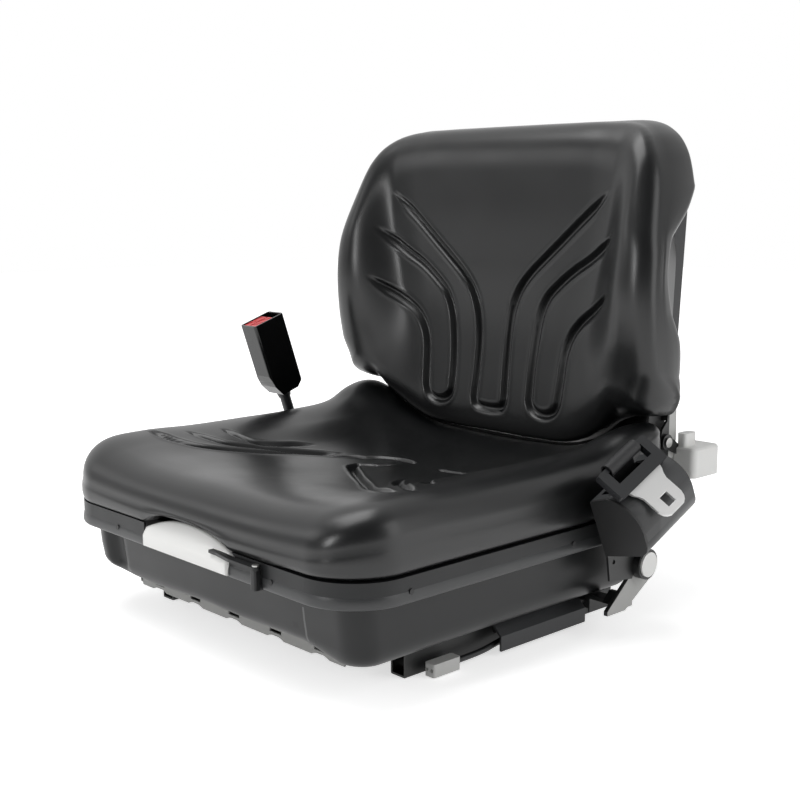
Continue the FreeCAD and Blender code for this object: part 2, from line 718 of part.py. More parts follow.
def cushion_section(y, edge_z, crest_z, mid_z, centre_z):
    """Cross-section of the seat cushion at one y."""
    w = pan_half_width
    right = [(w, edge_z), (w - 9, edge_z + (crest_z - edge_z) * 0.62), (w - 38, crest_z),
             (w - 120, mid_z), (0, centre_z)]
    top = [V(x, y, z) for x, z in right] + [V(-x, y, z) for x, z in reversed(right[:-1])]
    low = rim_bottom + 5
    corner_a = V(w, y, low)
    corner_b = V(-w, y, low)
    edges = [Part.makeLine(corner_b, corner_a), Part.makeLine(corner_a, top[0]), spline(top),
             Part.makeLine(top[-1], corner_b)]
    return Part.Wire(edges)


def make_cushion():
    """Seat cushion: a dished top between raised side and rear bolsters."""
    sections = [
        cushion_section(pan_front - 2, 128, 138, 141, 142),
        cushion_section(pan_front + 12, 140, 162, 163, 164),
        cushion_section(pan_front + 50, 150, 176, 173, 171),
        cushion_section(pan_front + 130, 160, 187, 171, 163),
        cushion_section(0, 170, 196, 161, 152),
        cushion_section(110, 172, 197, 158, 150),
        cushion_section(180, 178, 204, 162, 157),
        cushion_section(214, 180, 207, 166, 162),
    ]
    body = Part.makeLoft(sections, True, False)
    low = rim_top + seat_gap
    plan = round_plate(-pan_half_width, pan_half_width, pan_front - 1, cushion_rear,
                       low, 260, pan_corner)
    cushion = body.common(plan)
    inner = rim_depth + 1
    plug = round_plate(inner - pan_half_width, pan_half_width - inner, pan_front + inner,
                       pan_rear - inner, pan_floor + 3.1, low + 1, pan_corner - inner)
    cushion = cushion.fuse(plug)
    cushion = cushion.cut(recess_block(seat_gap, pan_front - 5, pan_front + rim_depth + 4,
                                       rim_bottom))
    for side in (-1, 1):
        x0 = side * (bracket_x - 1)
        x1 = side * (bracket_x + bracket_thick + 1)
        cushion = cushion.cut(box(x0, x1, 140, cushion_rear + 5, pan_floor, 129))
        foot_x = side * (bracket_x - 32)
        cushion = cushion.cut(box(foot_x, x0, 128, pan_rear, pan_floor, pan_floor + 3.2))
    pocket = box(-32, 32, 8, 52, pan_floor, pan_floor + 10)
    cushion = cushion.cut(pocket)
    save("seat_cushion", cushion)
    switch = round_plate(-30, 30, 10, 50, pan_floor, pan_floor + 8, 6)
    save("seat_switch", switch)


def make_screws():
    """Small screws round the rim."""
    screws = []
    head_r = 2.6
    for x in (-126.0, 134.0):
        shank = rod_y(x, pan_front, pan_front + pan_wall + 3, 108, 1.3)
        screws.append(shank.fuse(rod_y(x, pan_front - 1.2, pan_front, 108, head_r)))
    for side in (-1, 1):
        for y in (-169.0, 52.0):
            x0 = side * pan_half_width
            shank = rod_x(x0, x0 - side * (pan_wall + 3), y, 109, 1.3)
            screws.append(shank.fuse(rod_x(x0, x0 + side * 1.2, y, 109, head_r)))
    hole = [rod_y(x, pan_front - 3, pan_front + 9, 108, 1.3) for x in (-126.0, 134.0)]
    hole += [rod_x(side * (pan_half_width - 9), side * (pan_half_width + 9), y, 109, 1.3)
             for side in (-1, 1) for y in (-169.0, 52.0)]
    save("seat_pan", made["seat_pan"].cut(Part.makeCompound(hole)))
    save("rim_screws", Part.makeCompound(screws))


# Weight-adjust handle

def make_handle():
    """Arched handle in the front recess on a flat arm that swings about an upright pin."""
    arch = grip_rise - grip_end
    radius = (grip_half ** 2 + arch ** 2) / (2 * arch)
    disc = rod_y(grip_centre_x, grip_front - 1, pan_front + recess_depth,
                 grip_low + grip_rise - radius, radius)
    profile = [(grip_front, grip_low), (grip_front, grip_low + 12),
               (grip_front + 16.0, grip_low + 36), (grip_front + 17.5, grip_low + 36),
               (grip_front + 17.5, grip_low)]
    wedge = prism(profile, "x", grip_centre_x - grip_half, grip_centre_x + grip_half)
    ends = [e for e in wedge.Edges
            if abs(abs(e.CenterOfMass.x - grip_centre_x) - grip_half) < 0.01
            and abs(e.CenterOfMass.y - grip_front) < 0.01]
    grip = wedge.makeFillet(3, ends).common(disc)
    hollow = [(grip_front + 2.5, grip_low - 1), (grip_front + 2.5, grip_low + 9),
              (grip_front + 14.5, grip_low + 27), (grip_front + 15, grip_low - 1)]
    cave = prism(hollow, "x", grip_centre_x - grip_half + 3, grip_centre_x + grip_half - 3)
    grip = grip.cut(cave.common(rod_y(grip_centre_x, grip_front, 0,
                                      grip_low + grip_rise - radius, radius - 3)))
    arm_z = handle_arm_z
    arm_start = grip_centre_x + grip_half - 12
    grip_end_x = grip_centre_x + grip_half
    arm = prism([(arm_start, grip_front), (grip_end_x, grip_front - 0.5),
                 (grip_end_x + 26, swing_y - 3.8), (swing_x, swing_y - 4.2),
                 (swing_x, swing_y + 4.2), (grip_end_x + 26, swing_y + 4.2),
                 (grip_end_x, grip_front + 6), (arm_start, grip_front + 6)],
                "z", arm_z, arm_z + 3)
    arm = arm.fuse(rod_z(swing_x, swing_y, arm_z, arm_z + 3, 4.2))
    arm = arm.cut(rod_z(swing_x, swing_y, arm_z - 1, arm_z + 9, handle_pin_r + pin_clear))
    grip = grip.cut(arm)
    save("handle_grip", grip)
    save("handle_arm", arm)
    pin = rod_z(swing_x, swing_y, spring_z + 10, arm_z + 3.4, handle_pin_r)
    pin = pin.fuse(rod_z(swing_x, swing_y, arm_z + 3.4, arm_z + 4.9, 3.4))
    save("handle_pin", pin)


# Backrest

def tilted(shape):
    """Copy of a shape leaned back with the backrest."""
    return turned_x(shape, -back_tilt, back_datum_y, back_datum_z)


def make_brackets():
    """Hinge brackets on the pan with their pivot bolts."""
    outline = [(150, pan_floor), (hinge_y + 20, pan_floor), (hinge_y + 20, hinge_z),
               (hinge_y - 20, hinge_z), (hinge_y - 20, pan_floor + 12), (150, pan_floor + 5)]
    plate = prism(outline, "x", bracket_x, bracket_x + bracket_thick)
    plate = plate.fuse(rod_x(bracket_x, bracket_x + bracket_thick, hinge_y, hinge_z, 20))
    foot = box(bracket_x - 30, bracket_x + bracket_thick, 126, 164,
               pan_floor, pan_floor + 2.5)
    plate = plate.fuse(foot).removeSplitter()
    plate = plate.cut(rod_x(bracket_x - 5, bracket_x + 20, hinge_y, hinge_z, hinge_pin_r))
    save("hinge_brackets", both_sides(plate))
    arm_x = bracket_x + bracket_thick + 0.4
    bolt = headed_pin(bracket_x - 2, arm_x + 3.2, hinge_y, hinge_z, hinge_pin_r,
                      arm_x + 3.2, arm_x + 6, 8)
    nut = rod_x(bracket_x - 7, bracket_x, hinge_y, hinge_z, 8)
    save("hinge_bolts", both_sides(bolt.fuse(nut)))


def make_back():
    """Back plate with side arms, plastic rear shell and back cushion."""
    arm_x = bracket_x + bracket_thick + 0.4
    plate_half = bracket_x - 8
    plate_low = hinge_z
    plate_top = 495.0
    plate = round_plate(-plate_half, plate_half, 0, plate_top - plate_low, 0, 2, 20)
    plate.rotate(V(0, 0, 0), V(1, 0, 0), 90)
    plate.translate(V(0, back_datum_y + 2, plate_low))
    holes = [rod_y(x, 200, 300, z, 26) for x in (-80, 80) for z in (300, 420)]
    plate = plate.cut(Part.makeCompound(holes))
    plate = tilted(plate)
    arm = prism([(hinge_y - 12, hinge_z - 8), (hinge_y + 12, hinge_z - 8),
                 (hinge_y + 28, hinge_z + 22), (hinge_y + 28, 200), (hinge_y + 26, 250),
                 (hinge_y + 14, 262), (hinge_y + 14, 208), (hinge_y + 2, 196)],
                "x", arm_x, arm_x + 3)
    arm = arm.fuse(rod_x(arm_x, arm_x + 3, hinge_y, hinge_z, 15))
    arm = arm.cut(rod_x(arm_x - 1, arm_x + 4, hinge_y, hinge_z, hinge_pin_r + pin_clear))
    web = tilted(box(bracket_x - 16, arm_x + 3, back_datum_y, back_datum_y + 2, 205, 258))
    side = arm.fuse(web)
    plate = plate.fuse([side, mirror_x(side)]).removeSplitter()
    save("back_plate", plate)

    front = back_datum_y + 2
    rear = front + shell_depth
    outer = box(-shell_half_width, shell_half_width, front, rear, 192, 504)
    rear_edges = [e for e in outer.Edges if abs(e.CenterOfMass.y - rear) < 0.01]
    across = [e for e in outer.Edges
              if abs(e.tangentAt(e.FirstParameter).y) > 0.99]
    outer = outer.makeFillet(34, across)
    rim = [e for e in outer.Edges if abs(e.CenterOfMass.y - rear) < 0.01]
    outer = outer.makeChamfer(9, rim)
    w = shell_wall
    inner = box(w - shell_half_width, shell_half_width - w, front - 1, rear - w, 192 + w, 504 - w)
    across = [e for e in inner.Edges
              if abs(e.tangentAt(e.FirstParameter).y) > 0.99]
    inner = inner.makeFillet(34 - w, across)
    rim = [e for e in inner.Edges if abs(e.CenterOfMass.y - rear + w) < 0.01]
    inner = inner.makeChamfer(8, rim)
    shell = outer.cut(inner)
    pocket_slot = box(-130, 130, rear - w - 1, rear + 5, 412, 418)
    shell = shell.cut(pocket_slot)
    save("back_shell", tilted(shell))


def back_outline():
    """Front view outline of the back cushion as a face in the plane across Y."""
    w = back_half_width
    z0 = back_bottom
    z1 = back_top

    def p(x, z):
        return V(x, 0, z)
    low = spline([p(w - 183, z0), p(w - 137, z0 + 3), p(w - 104, z0 + 12), p(w - 80, z0 + 26),
                  p(w - 62, z0 + 42)])
    ledge = Part.makeLine(p(w - 62, z0 + 42), p(w - 24, z0 + 46))
    heel = Part.Arc(p(w - 24, z0 + 46), p(w - 7, z0 + 55), p(w - 2, z0 + 72)).toShape()
    side = Part.Arc(p(w - 2, z0 + 72), p(w, z0 + 186), p(w - 2, z0 + 300)).toShape()
    corner = Part.Arc(p(w - 2, z0 + 300), p(w - 17, z1 - 16), p(w - 60, z1)).toShape()
    half = [low, ledge, heel, side, corner]
    edges = half + [mirror_x(e) for e in half]
    edges += [Part.makeLine(p(183 - w, z0), p(w - 183, z0)),
              Part.makeLine(p(w - 60, z1), p(60 - w, z1))]
    return Part.Face(Part.Wire(Part.sortEdges(edges)[0]))


def back_section(z, centre_y, mid_y, crest_y, side_front, side_rear, rear_y):
    """Plan section of the back cushion at one height."""
    w = back_half_width + 1
    right = [(w, side_front), (w - 12, crest_y), (w - 42, crest_y + 6), (w - 90, mid_y),
             (w - 170, centre_y), (0, centre_y)]
    front = [V(x, y, z) for x, y in right] + [V(-x, y, z) for x, y in reversed(right[:-1])]
    a = V(w, side_rear, z)
    core = w - 48
    b = V(core, rear_y, z)
    edges = [spline(front), Part.makeLine(front[-1], V(-w, side_rear, z)),
             Part.makeLine(V(-w, side_rear, z), V(-core, rear_y, z)),
             Part.makeLine(V(-core, rear_y, z), b), Part.makeLine(b, a),
             Part.makeLine(a, front[0])]
    return Part.Wire(edges)


def make_back_cushion():
    """Back cushion: upright pad whose side bolsters wrap forward."""
    def rear(z):
        return back_datum_y - seat_gap - 0.4 + (z - back_datum_z) * math.tan(math.radians(back_tilt))
    sections = [
        back_section(160, 186, 186, 182, 200, 226, rear(160)),
        back_section(215, 186, 184, 172, 190, 232, rear(215)),
        back_section(250, 187, 184, 162, 180, 238, rear(250)),
        back_section(300, 190, 182, 152, 170, 234, rear(300)),
        back_section(370, 194, 184, 148, 166, 216, rear(370)),
        back_section(440, 197, 188, 156, 174, 244, rear(440)),
        back_section(500, 203, 196, 176, 196, 256, rear(500)),
        back_section(532, 214, 210, 198, 214, 250, rear(532)),
    ]
    body = Part.makeLoft(sections, True, False)
    pad = back_outline().extrude(V(0, 400, 0))
    save("back_cushion", body.common(pad))


def make_recline_lever():
    """Lever plate on the left arm with its moulded grip and pin."""
    plate_x = bracket_x + bracket_thick + 0.4 + 3 + 0.4
    pin_y = 240.0
    pin_z = 182.0
    outline = [(pin_y - 8, pin_z - 6), (pin_y + 6, pin_z - 10), (262, 165), (290, 154),
               (290, 162), (266, 174), (pin_y + 8, pin_z + 4)]
    plate = prism(outline, "x", plate_x, plate_x + 3)
    plate = plate.fuse(rod_x(plate_x, plate_x + 3, pin_y, pin_z, 9)).removeSplitter()
    plate = plate.cut(rod_x(plate_x - 1, plate_x + 4, pin_y, pin_z, 3 + pin_clear))
    grip_in = bracket_x - 1
    grip = round_plate(grip_in, grip_in + 35, 257, 308, 142, 175, 7)
    top_edges = [e for e in grip.Edges if e.CenterOfMass.z > 174.9]
    grip = grip.makeChamfer(2, top_edges)
    grip = grip.cut(box(grip_in - 1, plate_x, 250, 263, 100, 200))
    lug = round_plate(plate_x + 0.4, plate_x + 12, 260, 282, 165, 190, 4)
    grip = grip.fuse(lug).removeSplitter()
    grip = grip.cut(plate)
    save("recline_lever", plate)
    save("recline_grip", grip)
    pin = rod_x(plate_x - 3.4, plate_x + 3.2, pin_y, pin_z, 3)
    pin = pin.fuse(rod_x(plate_x + 3.2, plate_x + 5, pin_y, pin_z, 5.5))
    save("recline_pin", pin)
    hole = rod_x(plate_x - 5, plate_x + 5, pin_y, pin_z, 3)
    save("back_plate", made["back_plate"].cut(hole))


# Seat belt retractor

def to_reel(shape):
    """Copy of a shape from the reel's frame (x, u, v) to the seat's frame."""
    return turned_x(shape, reel_tilt)


def cover_face(inset, u):
    """Section of the belt retractor's cover across the reel's axis."""
    x0 = cover_back_x
    x1 = x0 + cover_deep - inset
    low_a = V(x0, u, 47 + inset)
    low_b = V(x0 + 46, u, 58.5 + inset)
    side_a = V(x1, u, 76)
    side_b = V(x1, u, 86)
    top_a = V(x0 + 22, u, 120.5 - inset)
    top_b = V(x0, u, 113 - inset)
    edges = [
        Part.makeLine(low_a, low_b),
        Part.Arc(low_b, V(x1 - 3.2, u, 64.5 + inset * 0.8), side_a).toShape(),
        Part.makeLine(side_a, side_b),
        Part.Arc(side_b, V(x1 - 11, u, 111 - inset * 0.7), top_a).toShape(),
        Part.makeLine(top_a, top_b),
        Part.makeLine(top_b, low_a),
    ]
    return face_of(edges)


def make_retractor():
    """Bracket, steel frame, reel, moulded cover and end cap of the belt retractor."""
    foot_low = base_top
    strap = strap_thick
    foot = box(base_half_width - foot_inset, anchor_x + strap, foot_front, foot_rear,
               foot_low, foot_low + strap)
    upright = prism([(foot_front - 26, foot_low - 2.6), (foot_front + 3, foot_low - 2.6),
                     (anchor_y + 18, anchor_z - 21), (anchor_y + 14, anchor_z - 5),
                     (anchor_y - 12, anchor_z - 9), (foot_front - 26, foot_low + 2)],
                    "x", anchor_x, anchor_x + strap)
    eye = rod_x(anchor_x, anchor_x + strap, anchor_y, anchor_z, 15)
    web = prism([(foot_front - 16, 36), (foot_front - 11, 36), (foot_front, 47),
                 (foot_front - 5, 47)], "x", anchor_x - 10, anchor_x + 1)
    bracket = foot.fuse([upright, eye, web]).removeSplitter()
    bracket = bracket.cut(rod_x(anchor_x - 1, anchor_x + strap + 1, anchor_y, anchor_z, 5.5))
    save("retractor_bracket", bracket)

    plate_x0 = anchor_x + strap
    plate_x1 = plate_x0 + 2.5
    a = math.radians(reel_tilt)
    bolt_u = anchor_y * math.cos(a) + anchor_z * math.sin(a)
    bolt_v = anchor_z * math.cos(a) - anchor_y * math.sin(a)
    back = box(plate_x0, plate_x1, cover_near + 2, cover_far - 4, 52, 109)
    tab = prism([(bolt_u - 13, bolt_v), (bolt_u + 13, bolt_v), (bolt_u + 18, 53),
                 (bolt_u - 45, 53), (bolt_u - 45, 44), (bolt_u - 52, 20),
                 (bolt_u - 20, 0)], "x", plate_x0, plate_x1)
    tab = tab.fuse(rod_x(plate_x0, plate_x1 + 8, bolt_u, bolt_v, 16))
    tab = tab.cut(rod_x(plate_x1, plate_x1 + 9, bolt_u, bolt_v, 13.4))
    tab = tab.cut(rod_x(plate_x0 - 1, plate_x1 + 1, bolt_u - 39, 35, 2.4))
    frame = back.fuse(tab)
    for u in (cover_near + 4, cover_far - 9):
        ear = box(plate_x0, reel_x + 13, u, u + 2.5, reel_v - 12, reel_v + 16)
        frame = frame.fuse(ear)
    frame = frame.removeSplitter()
    frame = frame.cut(rod_y(reel_x, 100, 230, reel_v, reel_shaft_r + pin_clear))
    frame = frame.cut(rod_x(plate_x0 - 1, plate_x1 + 1, bolt_u, bolt_v, 5.5))
    save("retractor_frame", to_reel(frame))

    shaft = rod_y(reel_x, cover_near + 1.5, cover_far - 5.5, reel_v, reel_shaft_r)
    wound = rod_y(reel_x, cover_near + 12, cover_far - 15, reel_v, reel_r)
    ratchet = rod_y(reel_x, cover_near + 8, cover_near + 10.5, reel_v, reel_r + 1)
    teeth = 24
    for i in range(teeth):
        turn = 360.0 / teeth * i
        notch = box(reel_r - 2, reel_r + 3, cover_near + 7, cover_near + 11, -1.0, 1.4)
        notch.rotate(V(0, 0, 0), V(0, 1, 0), turn)
        notch.translate(V(reel_x, 0, reel_v))
        ratchet = ratchet.cut(notch)
    save("belt_reel", to_reel(shaft.fuse([wound, ratchet])))

    outer = cover_face(0, cover_near).extrude(V(0, cover_far - cover_near, 0))
    far = cover_face(cover_wall, cover_near - 1)
    inner = far.extrude(V(0, cover_far - cover_near + 1 - cover_wall, 0))
    back_open = box(cover_back_x - 1, cover_back_x + 6, cover_near - 1, cover_far - cover_wall,
                    48.5 + cover_wall, 113 - cover_wall)
    cover = outer.cut(inner.fuse(back_open))
    slot = box(cover_back_x + 6, cover_back_x + 19, cover_near + 9, cover_far - 13, 107, 130)
    cover = cover.cut(box(cover_back_x - 1, plate_x1 + 0.4, cover_near - 1, bolt_u + 20, 40, 54))
    save("retractor_cover", to_reel(cover.cut(slot)))
    cap = cover_face(0, cover_near - cap_thick).extrude(V(0, cap_thick, 0))
    cap = cap.cut(box(cover_back_x - 1, plate_x1 + 0.4, 100, cover_near + 1, 40, 54))
    save("retractor_end_cap", to_reel(cap))

    head_x = plate_x1
    nut_x = anchor_x - 5.3
    bolt = headed_pin(nut_x, head_x, anchor_y, anchor_z, 5.4, head_x, head_x + 7, 10)
    nut = rod_x(nut_x, anchor_x, anchor_y, anchor_z, 9)
    save("anchor_bolt", bolt.fuse(nut))
    ring = rod_x(head_x + 0.2, head_x + 10, anchor_y, anchor_z, 13)
    hollow = rod_x(head_x, head_x + 7.3, anchor_y, anchor_z, 10.3)
    save("bolt_cap", ring.cut(hollow))


def in_guide(shape):
    """Copy of a shape from the guide's frame (s, u, n) to the seat's frame."""
    copy = shape.copy()
    copy.rotate(V(0, 0, 0), V(0, 1, 0), guide_turn)
    copy.translate(V(guide_x, 0, guide_v))
    return to_reel(copy)


def make_tongue():
    """Belt tongue with its moulded guide and the webbing looped over the guide's bar."""
    mid = (guide_near + guide_far) / 2
    root_half = 26.0
    tip_half = 19.5
    half = tongue_thick / 2
    tip = 75.0
    side = [(21, root_half), (33, root_half), (37, 24.5), (41, 21.5), (46, tip_half),
            (65, tip_half), (70, tip_half - 2), (73, tip_half - 5), (tip, tip_half - 9)]
    outline = [(s, mid - h) for s, h in side] + [(s, mid + h) for s, h in reversed(side)]
    plate = prism(outline, "z", -half, half)
    plate = plate.cut(box(55.5, 67.5, mid - 6, mid + 6, -5, 5))
    save("belt_tongue", in_guide(plate))
    frame = round_plate(0, guide_deep, guide_near, guide_far, -4, 4, 3)
    frame = frame.cut(box(5.2, 19.8, mid - 27, mid + 27, -6, 6))
    frame = frame.cut(box(20.9, guide_deep + 1, mid - root_half, mid + root_half, -half, half))
    save("tongue_guide", in_guide(frame))
    wrap_r = 7.0
    wrap = rod_y(2.7, mid - 24, mid + 24, 0, wrap_r)
    wrap = wrap.cut(rod_y(2.7, 0, 300, 0, wrap_r - webbing_thick))
    a = math.radians(guide_turn)
    wrap_x = guide_x + 2.7 * math.cos(a)
    wrap_v = guide_v - 2.7 * math.sin(a)
    tail_x = reel_x - reel_r - seat_gap - webbing_thick
    tail = box(tail_x, tail_x + webbing_thick, mid - 24, mid + 24, reel_v, wrap_v)
    ring = wrap.copy()
    ring.rotate(V(0, 0, 0), V(0, 1, 0), guide_turn)
    ring.translate(V(guide_x, 0, guide_v))
    save("webbing", to_reel(ring.fuse(tail)))


# Buckle

def to_stalk(shape):
    """Copy of a shape from the stalk's frame (x, p, q) to the seat's frame."""
    copy = turned_x(shape, stalk_lean)
    copy.translate(V(stalk_x, stalk_y, stalk_z))
    return copy


def make_buckle():
    """Bracket, stalk, moulded buckle and its press button."""
    low = base_top
    ear_in = -(anchor_x + 5.5)
    y0 = stalk_y - buckle_foot
    y1 = stalk_y + buckle_foot
    foot = box(ear_in, foot_inset - base_half_width, y0, y1, low, low + strap_thick)
    upright = prism([(y0, low), (y1, low), (stalk_y + 14, stalk_z), (stalk_y - 14, stalk_z)],
                    "x", ear_in, ear_in + strap_thick)
    bracket = foot.fuse([upright, rod_x(ear_in, ear_in + strap_thick, stalk_y, stalk_z, 14)])
    bracket = bracket.removeSplitter().cut(rod_x(ear_in - 5, ear_in + 10, stalk_y, stalk_z, 5.0))
    save("buckle_bracket", bracket)
    eye_out = ear_in - 0.4 - stalk_x
    eye = rod_x(eye_out - 4, eye_out, 0, 0, 14)
    blade = box(eye_out - 4, eye_out, -9, 9, 0, 30)
    tube = rod_z(eye_out - 2, 0, 22, 60, 6)
    riser_top = stalk_length - buckle_height - 8
    riser = rod_z(0, 0, 54, riser_top + 1, 6.8)
    joint = prism([(eye_out - 6, 44), (eye_out + 2, 44), (5, 68), (-4, 68)], "y", -4.5, 4.5)
    neck = Part.makeCone(8, 10, 10, V(0, 0, riser_top))
    stalk = eye.fuse([blade, tube, joint, riser, neck]).removeSplitter()
    stalk = stalk.cut(rod_x(eye_out - 9, eye_out + 3, 0, 0, 5.0 + pin_clear))
    save("buckle_stalk", to_stalk(stalk))
    bolt = headed_pin(stalk_x + eye_out - 4.6, ear_in + strap_thick + 1, stalk_y, stalk_z, 5.0,
                      stalk_x + eye_out - 8, stalk_x + eye_out - 4.6, 8.5)
    nut = rod_x(ear_in + strap_thick, ear_in + strap_thick + 6, stalk_y, stalk_z, 8.5)
    save("buckle_bolt", bolt.fuse(nut))

    q0 = stalk_length - buckle_height
    q1 = stalk_length
    outline = [(-buckle_half_p, q1), (-buckle_half_p, q0 + 30), (-buckle_half_p + 4, q0 + 14),
               (-buckle_half_p + 12, q0), (buckle_half_p - 10, q0), (buckle_half_p, q0 + 8),
               (buckle_half_p, q1)]
    shell = prism(outline, "x", -buckle_half_x, buckle_half_x)
    side_edges = [e for e in shell.Edges
                  if abs(e.tangentAt(e.FirstParameter).z) > 0.99 and e.Length > 40]
    shell = shell.makeFillet(3, side_edges)
    mouth = box(-buckle_half_x + 2, buckle_half_x - 2, -buckle_half_p + 2.5, buckle_half_p - 2.5,
                q1 - 46, q1 + 5)
    shell = shell.cut(mouth)
    shell = shell.cut(Part.makeCone(8.3, 10.3, 10.2, V(0, 0, riser_top - 0.2)))
    save("buckle_shell", to_stalk(shell))
    button = round_plate(2.4 - buckle_half_x, buckle_half_x - 2.4, 3 - buckle_half_p, 9,
                         q1 - 30, q1 - 1, 2)
    ribs = [box(-20, 20, p, p + 1.4, q1 - 2, q1) for p in (-15, -11, -7, -3, 1, 5)]
    ribs.append(box(-0.8, 0.8, -40, 40, q1 - 2.6, q1))
    button = button.cut(ribs)
    save("buckle_button", to_stalk(button))


# Slide lever and switch lead

def make_slide_lever():
    """Rod along the left rail with its latch fingers and the folded hand paddle."""
    y0 = paddle_front + 6
    y1 = paddle_rear + 36
    lever = rod_y(lever_rod_x, y0, y1, lever_rod_z, lever_rod_r)
    rail_face = rail_centre + rail_width / 2
    for step in range(3):
        y = 46.5 + latch_pitch * step
        finger = prism([(lever_rod_x - 2.5, lever_rod_z), (lever_rod_x + 1, lever_rod_z),
                        (rail_face + 4, 10.5), (rail_face + 0.5, 10.5), (rail_face + 0.5, 14)],
                       "y", y, y + 5)
        lever = lever.fuse(finger)
    save("lever_rod", lever.removeSplitter())
    t = 2.5
    top_x = paddle_x - 16.0
    top_z = 35.6
    outline = [(paddle_x, paddle_low), (paddle_x, paddle_crease), (top_x, top_z),
               (top_x - 1.5, top_z - 1.9), (paddle_x - t, paddle_crease - 1.0),
               (paddle_x - t, paddle_low)]
    paddle = prism(outline, "y", paddle_front, paddle_rear)
    web = prism([(top_x - 1, top_z - 1), (paddle_x - t, paddle_crease),
                 (paddle_x - t, paddle_crease - 6), (lever_rod_x, lever_rod_z - 2),
                 (lever_rod_x - 2, lever_rod_z)], "y", 16, 26)
    web = web.common(prism([(paddle_x, paddle_crease), (top_x, top_z), (top_x - 8, 10),
                            (paddle_x, paddle_low)], "y", 0, 100))
    paddle = paddle.fuse([web, web.translated(V(0, 64, 0))]).removeSplitter()
    paddle = paddle.cut(rod_y(lever_rod_x, -20, 200, lever_rod_z, lever_rod_r))
    save("slide_paddle", paddle)


def lead_wire(points):
    """Straight runs joined by tangent arcs, each as large as its two runs allow."""
    pts = [V(*p) for p in points]
    edges = []
    start = pts[0]
    for before, here, after in zip(pts, pts[1:], pts[2:]):
        into = here.sub(before)
        out = after.sub(here)
        turn = into.getAngle(out)
        setback = 0.45 * min(into.Length, out.Length)
        radius = setback / math.tan(turn / 2)
        print("lead radius", round(radius, 1))
        a = here.sub(V(into).normalize() * setback)
        b = here.add(V(out).normalize() * setback)
        towards = V(out).normalize().sub(V(into).normalize()).normalize()
        mid = here.add(towards * (radius / math.cos(turn / 2) - radius))
        edges.append(Part.LineSegment(start, a).toShape())
        edges.append(Part.Arc(a, mid, b).toShape())
        start = b
    edges.append(Part.LineSegment(start, pts[-1]).toShape())
    return Part.Wire(edges)


def make_lead():
    """Short switch lead on the left side, its gland and its plug housing."""
    path = lead_wire(lead_route)
    first = V(*lead_route[0])
    along = V(*lead_route[1]).sub(first)
    ring = Part.Wire(Part.makeCircle(lead_r, first, along))
    lead = path.makePipeShell([ring], True, False)
    print("lead volume", round(lead.Volume), "expected",
          round(math.pi * lead_r ** 2 * path.Length), "length", round(path.Length, 1))
    save("switch_lead", lead)
    gland = rod(first.x, first.y, first.z, 5.0, 14, (0, 1, 0))
    hanger_x = base_half_width + 0.3
    hanger = box(hanger_x, hanger_x + 1.8, first.y + 2, first.y + 12, first.z - 4, base_top)
    arm = box(hanger_x, first.x, first.y + 4, first.y + 10, first.z - 3, first.z + 1)
    gland = gland.fuse([hanger, arm])
    last = lead_route[-1]
    save("lead_gland", gland)
    plug = round_plate(last[0] - 6.5, last[0] + 6.5, last[1] - 36, last[1],
                       last[2] - 6.5, last[2] + 6.5, 2.5)
    for x in (-3.2, 3.2):
        plug = plug.cut(rod_y(last[0] + x, last[1] - 37, last[1] - 24, last[2], 1.9))
    save("lead_plug", plug)


make_rails()
make_base()
make_arms()
make_pins()
make_top()
make_springs()
make_adjuster()
make_damper()
make_bumps()
make_pan()
make_gaiter()
make_cushion()
make_screws()
make_handle()
make_brackets()
make_back()
make_back_cushion()
make_recline_lever()
make_retractor()
make_tongue()
make_buckle()
make_slide_lever()
make_lead()
for name, shape in made.items():
    if not shape.isValid():
        print("invalid", name)
print(len(made), "sub-parts")
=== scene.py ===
import math

import bmesh
import bpy
import numpy as np
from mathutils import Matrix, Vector

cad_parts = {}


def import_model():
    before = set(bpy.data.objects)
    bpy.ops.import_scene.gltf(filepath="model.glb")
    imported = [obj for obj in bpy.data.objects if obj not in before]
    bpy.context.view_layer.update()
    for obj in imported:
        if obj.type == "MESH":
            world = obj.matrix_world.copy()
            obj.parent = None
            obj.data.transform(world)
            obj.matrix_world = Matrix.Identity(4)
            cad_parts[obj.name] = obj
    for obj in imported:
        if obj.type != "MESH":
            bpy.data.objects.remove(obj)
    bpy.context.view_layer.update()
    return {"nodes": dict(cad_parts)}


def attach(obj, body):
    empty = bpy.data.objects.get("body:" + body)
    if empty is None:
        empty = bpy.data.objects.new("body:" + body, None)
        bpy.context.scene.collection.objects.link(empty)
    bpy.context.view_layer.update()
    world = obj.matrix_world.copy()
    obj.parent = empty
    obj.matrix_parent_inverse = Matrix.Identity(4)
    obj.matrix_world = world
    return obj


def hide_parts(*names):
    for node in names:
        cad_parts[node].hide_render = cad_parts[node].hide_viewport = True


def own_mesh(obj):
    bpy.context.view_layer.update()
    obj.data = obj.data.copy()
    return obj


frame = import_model()
nodes = frame["nodes"]
MM = 0.001

# Sizes shared by several pieces, in millimetres
HALF_WIDTH = 240.0        # seat cushion and the pan's rim
PAN_FRONT = -240.0
CORNER = 60.0             # plan radius of the front corners
LEAD_R = 3.0


# Materials

def linear(hex_code):
    """sRGB hex to the linear colour that a shader takes."""
    parts = [int(hex_code[i:i + 2], 16) / 255 for i in (0, 2, 4)]
    out = [c / 12.92 if c <= 0.04045 else ((c + 0.055) / 1.055) ** 2.4 for c in parts]
    return (*out, 1.0)


def add(tree, kind, inputs=None, **attributes):
    """One shader or geometry node with its settings and its links or values."""
    node = tree.nodes.new(kind)
    for key, value in attributes.items():
        setattr(node, key, value)
    for key, value in (inputs or {}).items():
        if isinstance(value, bpy.types.NodeSocket):
            tree.links.new(value, node.inputs[key])
        else:
            node.inputs[key].default_value = value
    return node


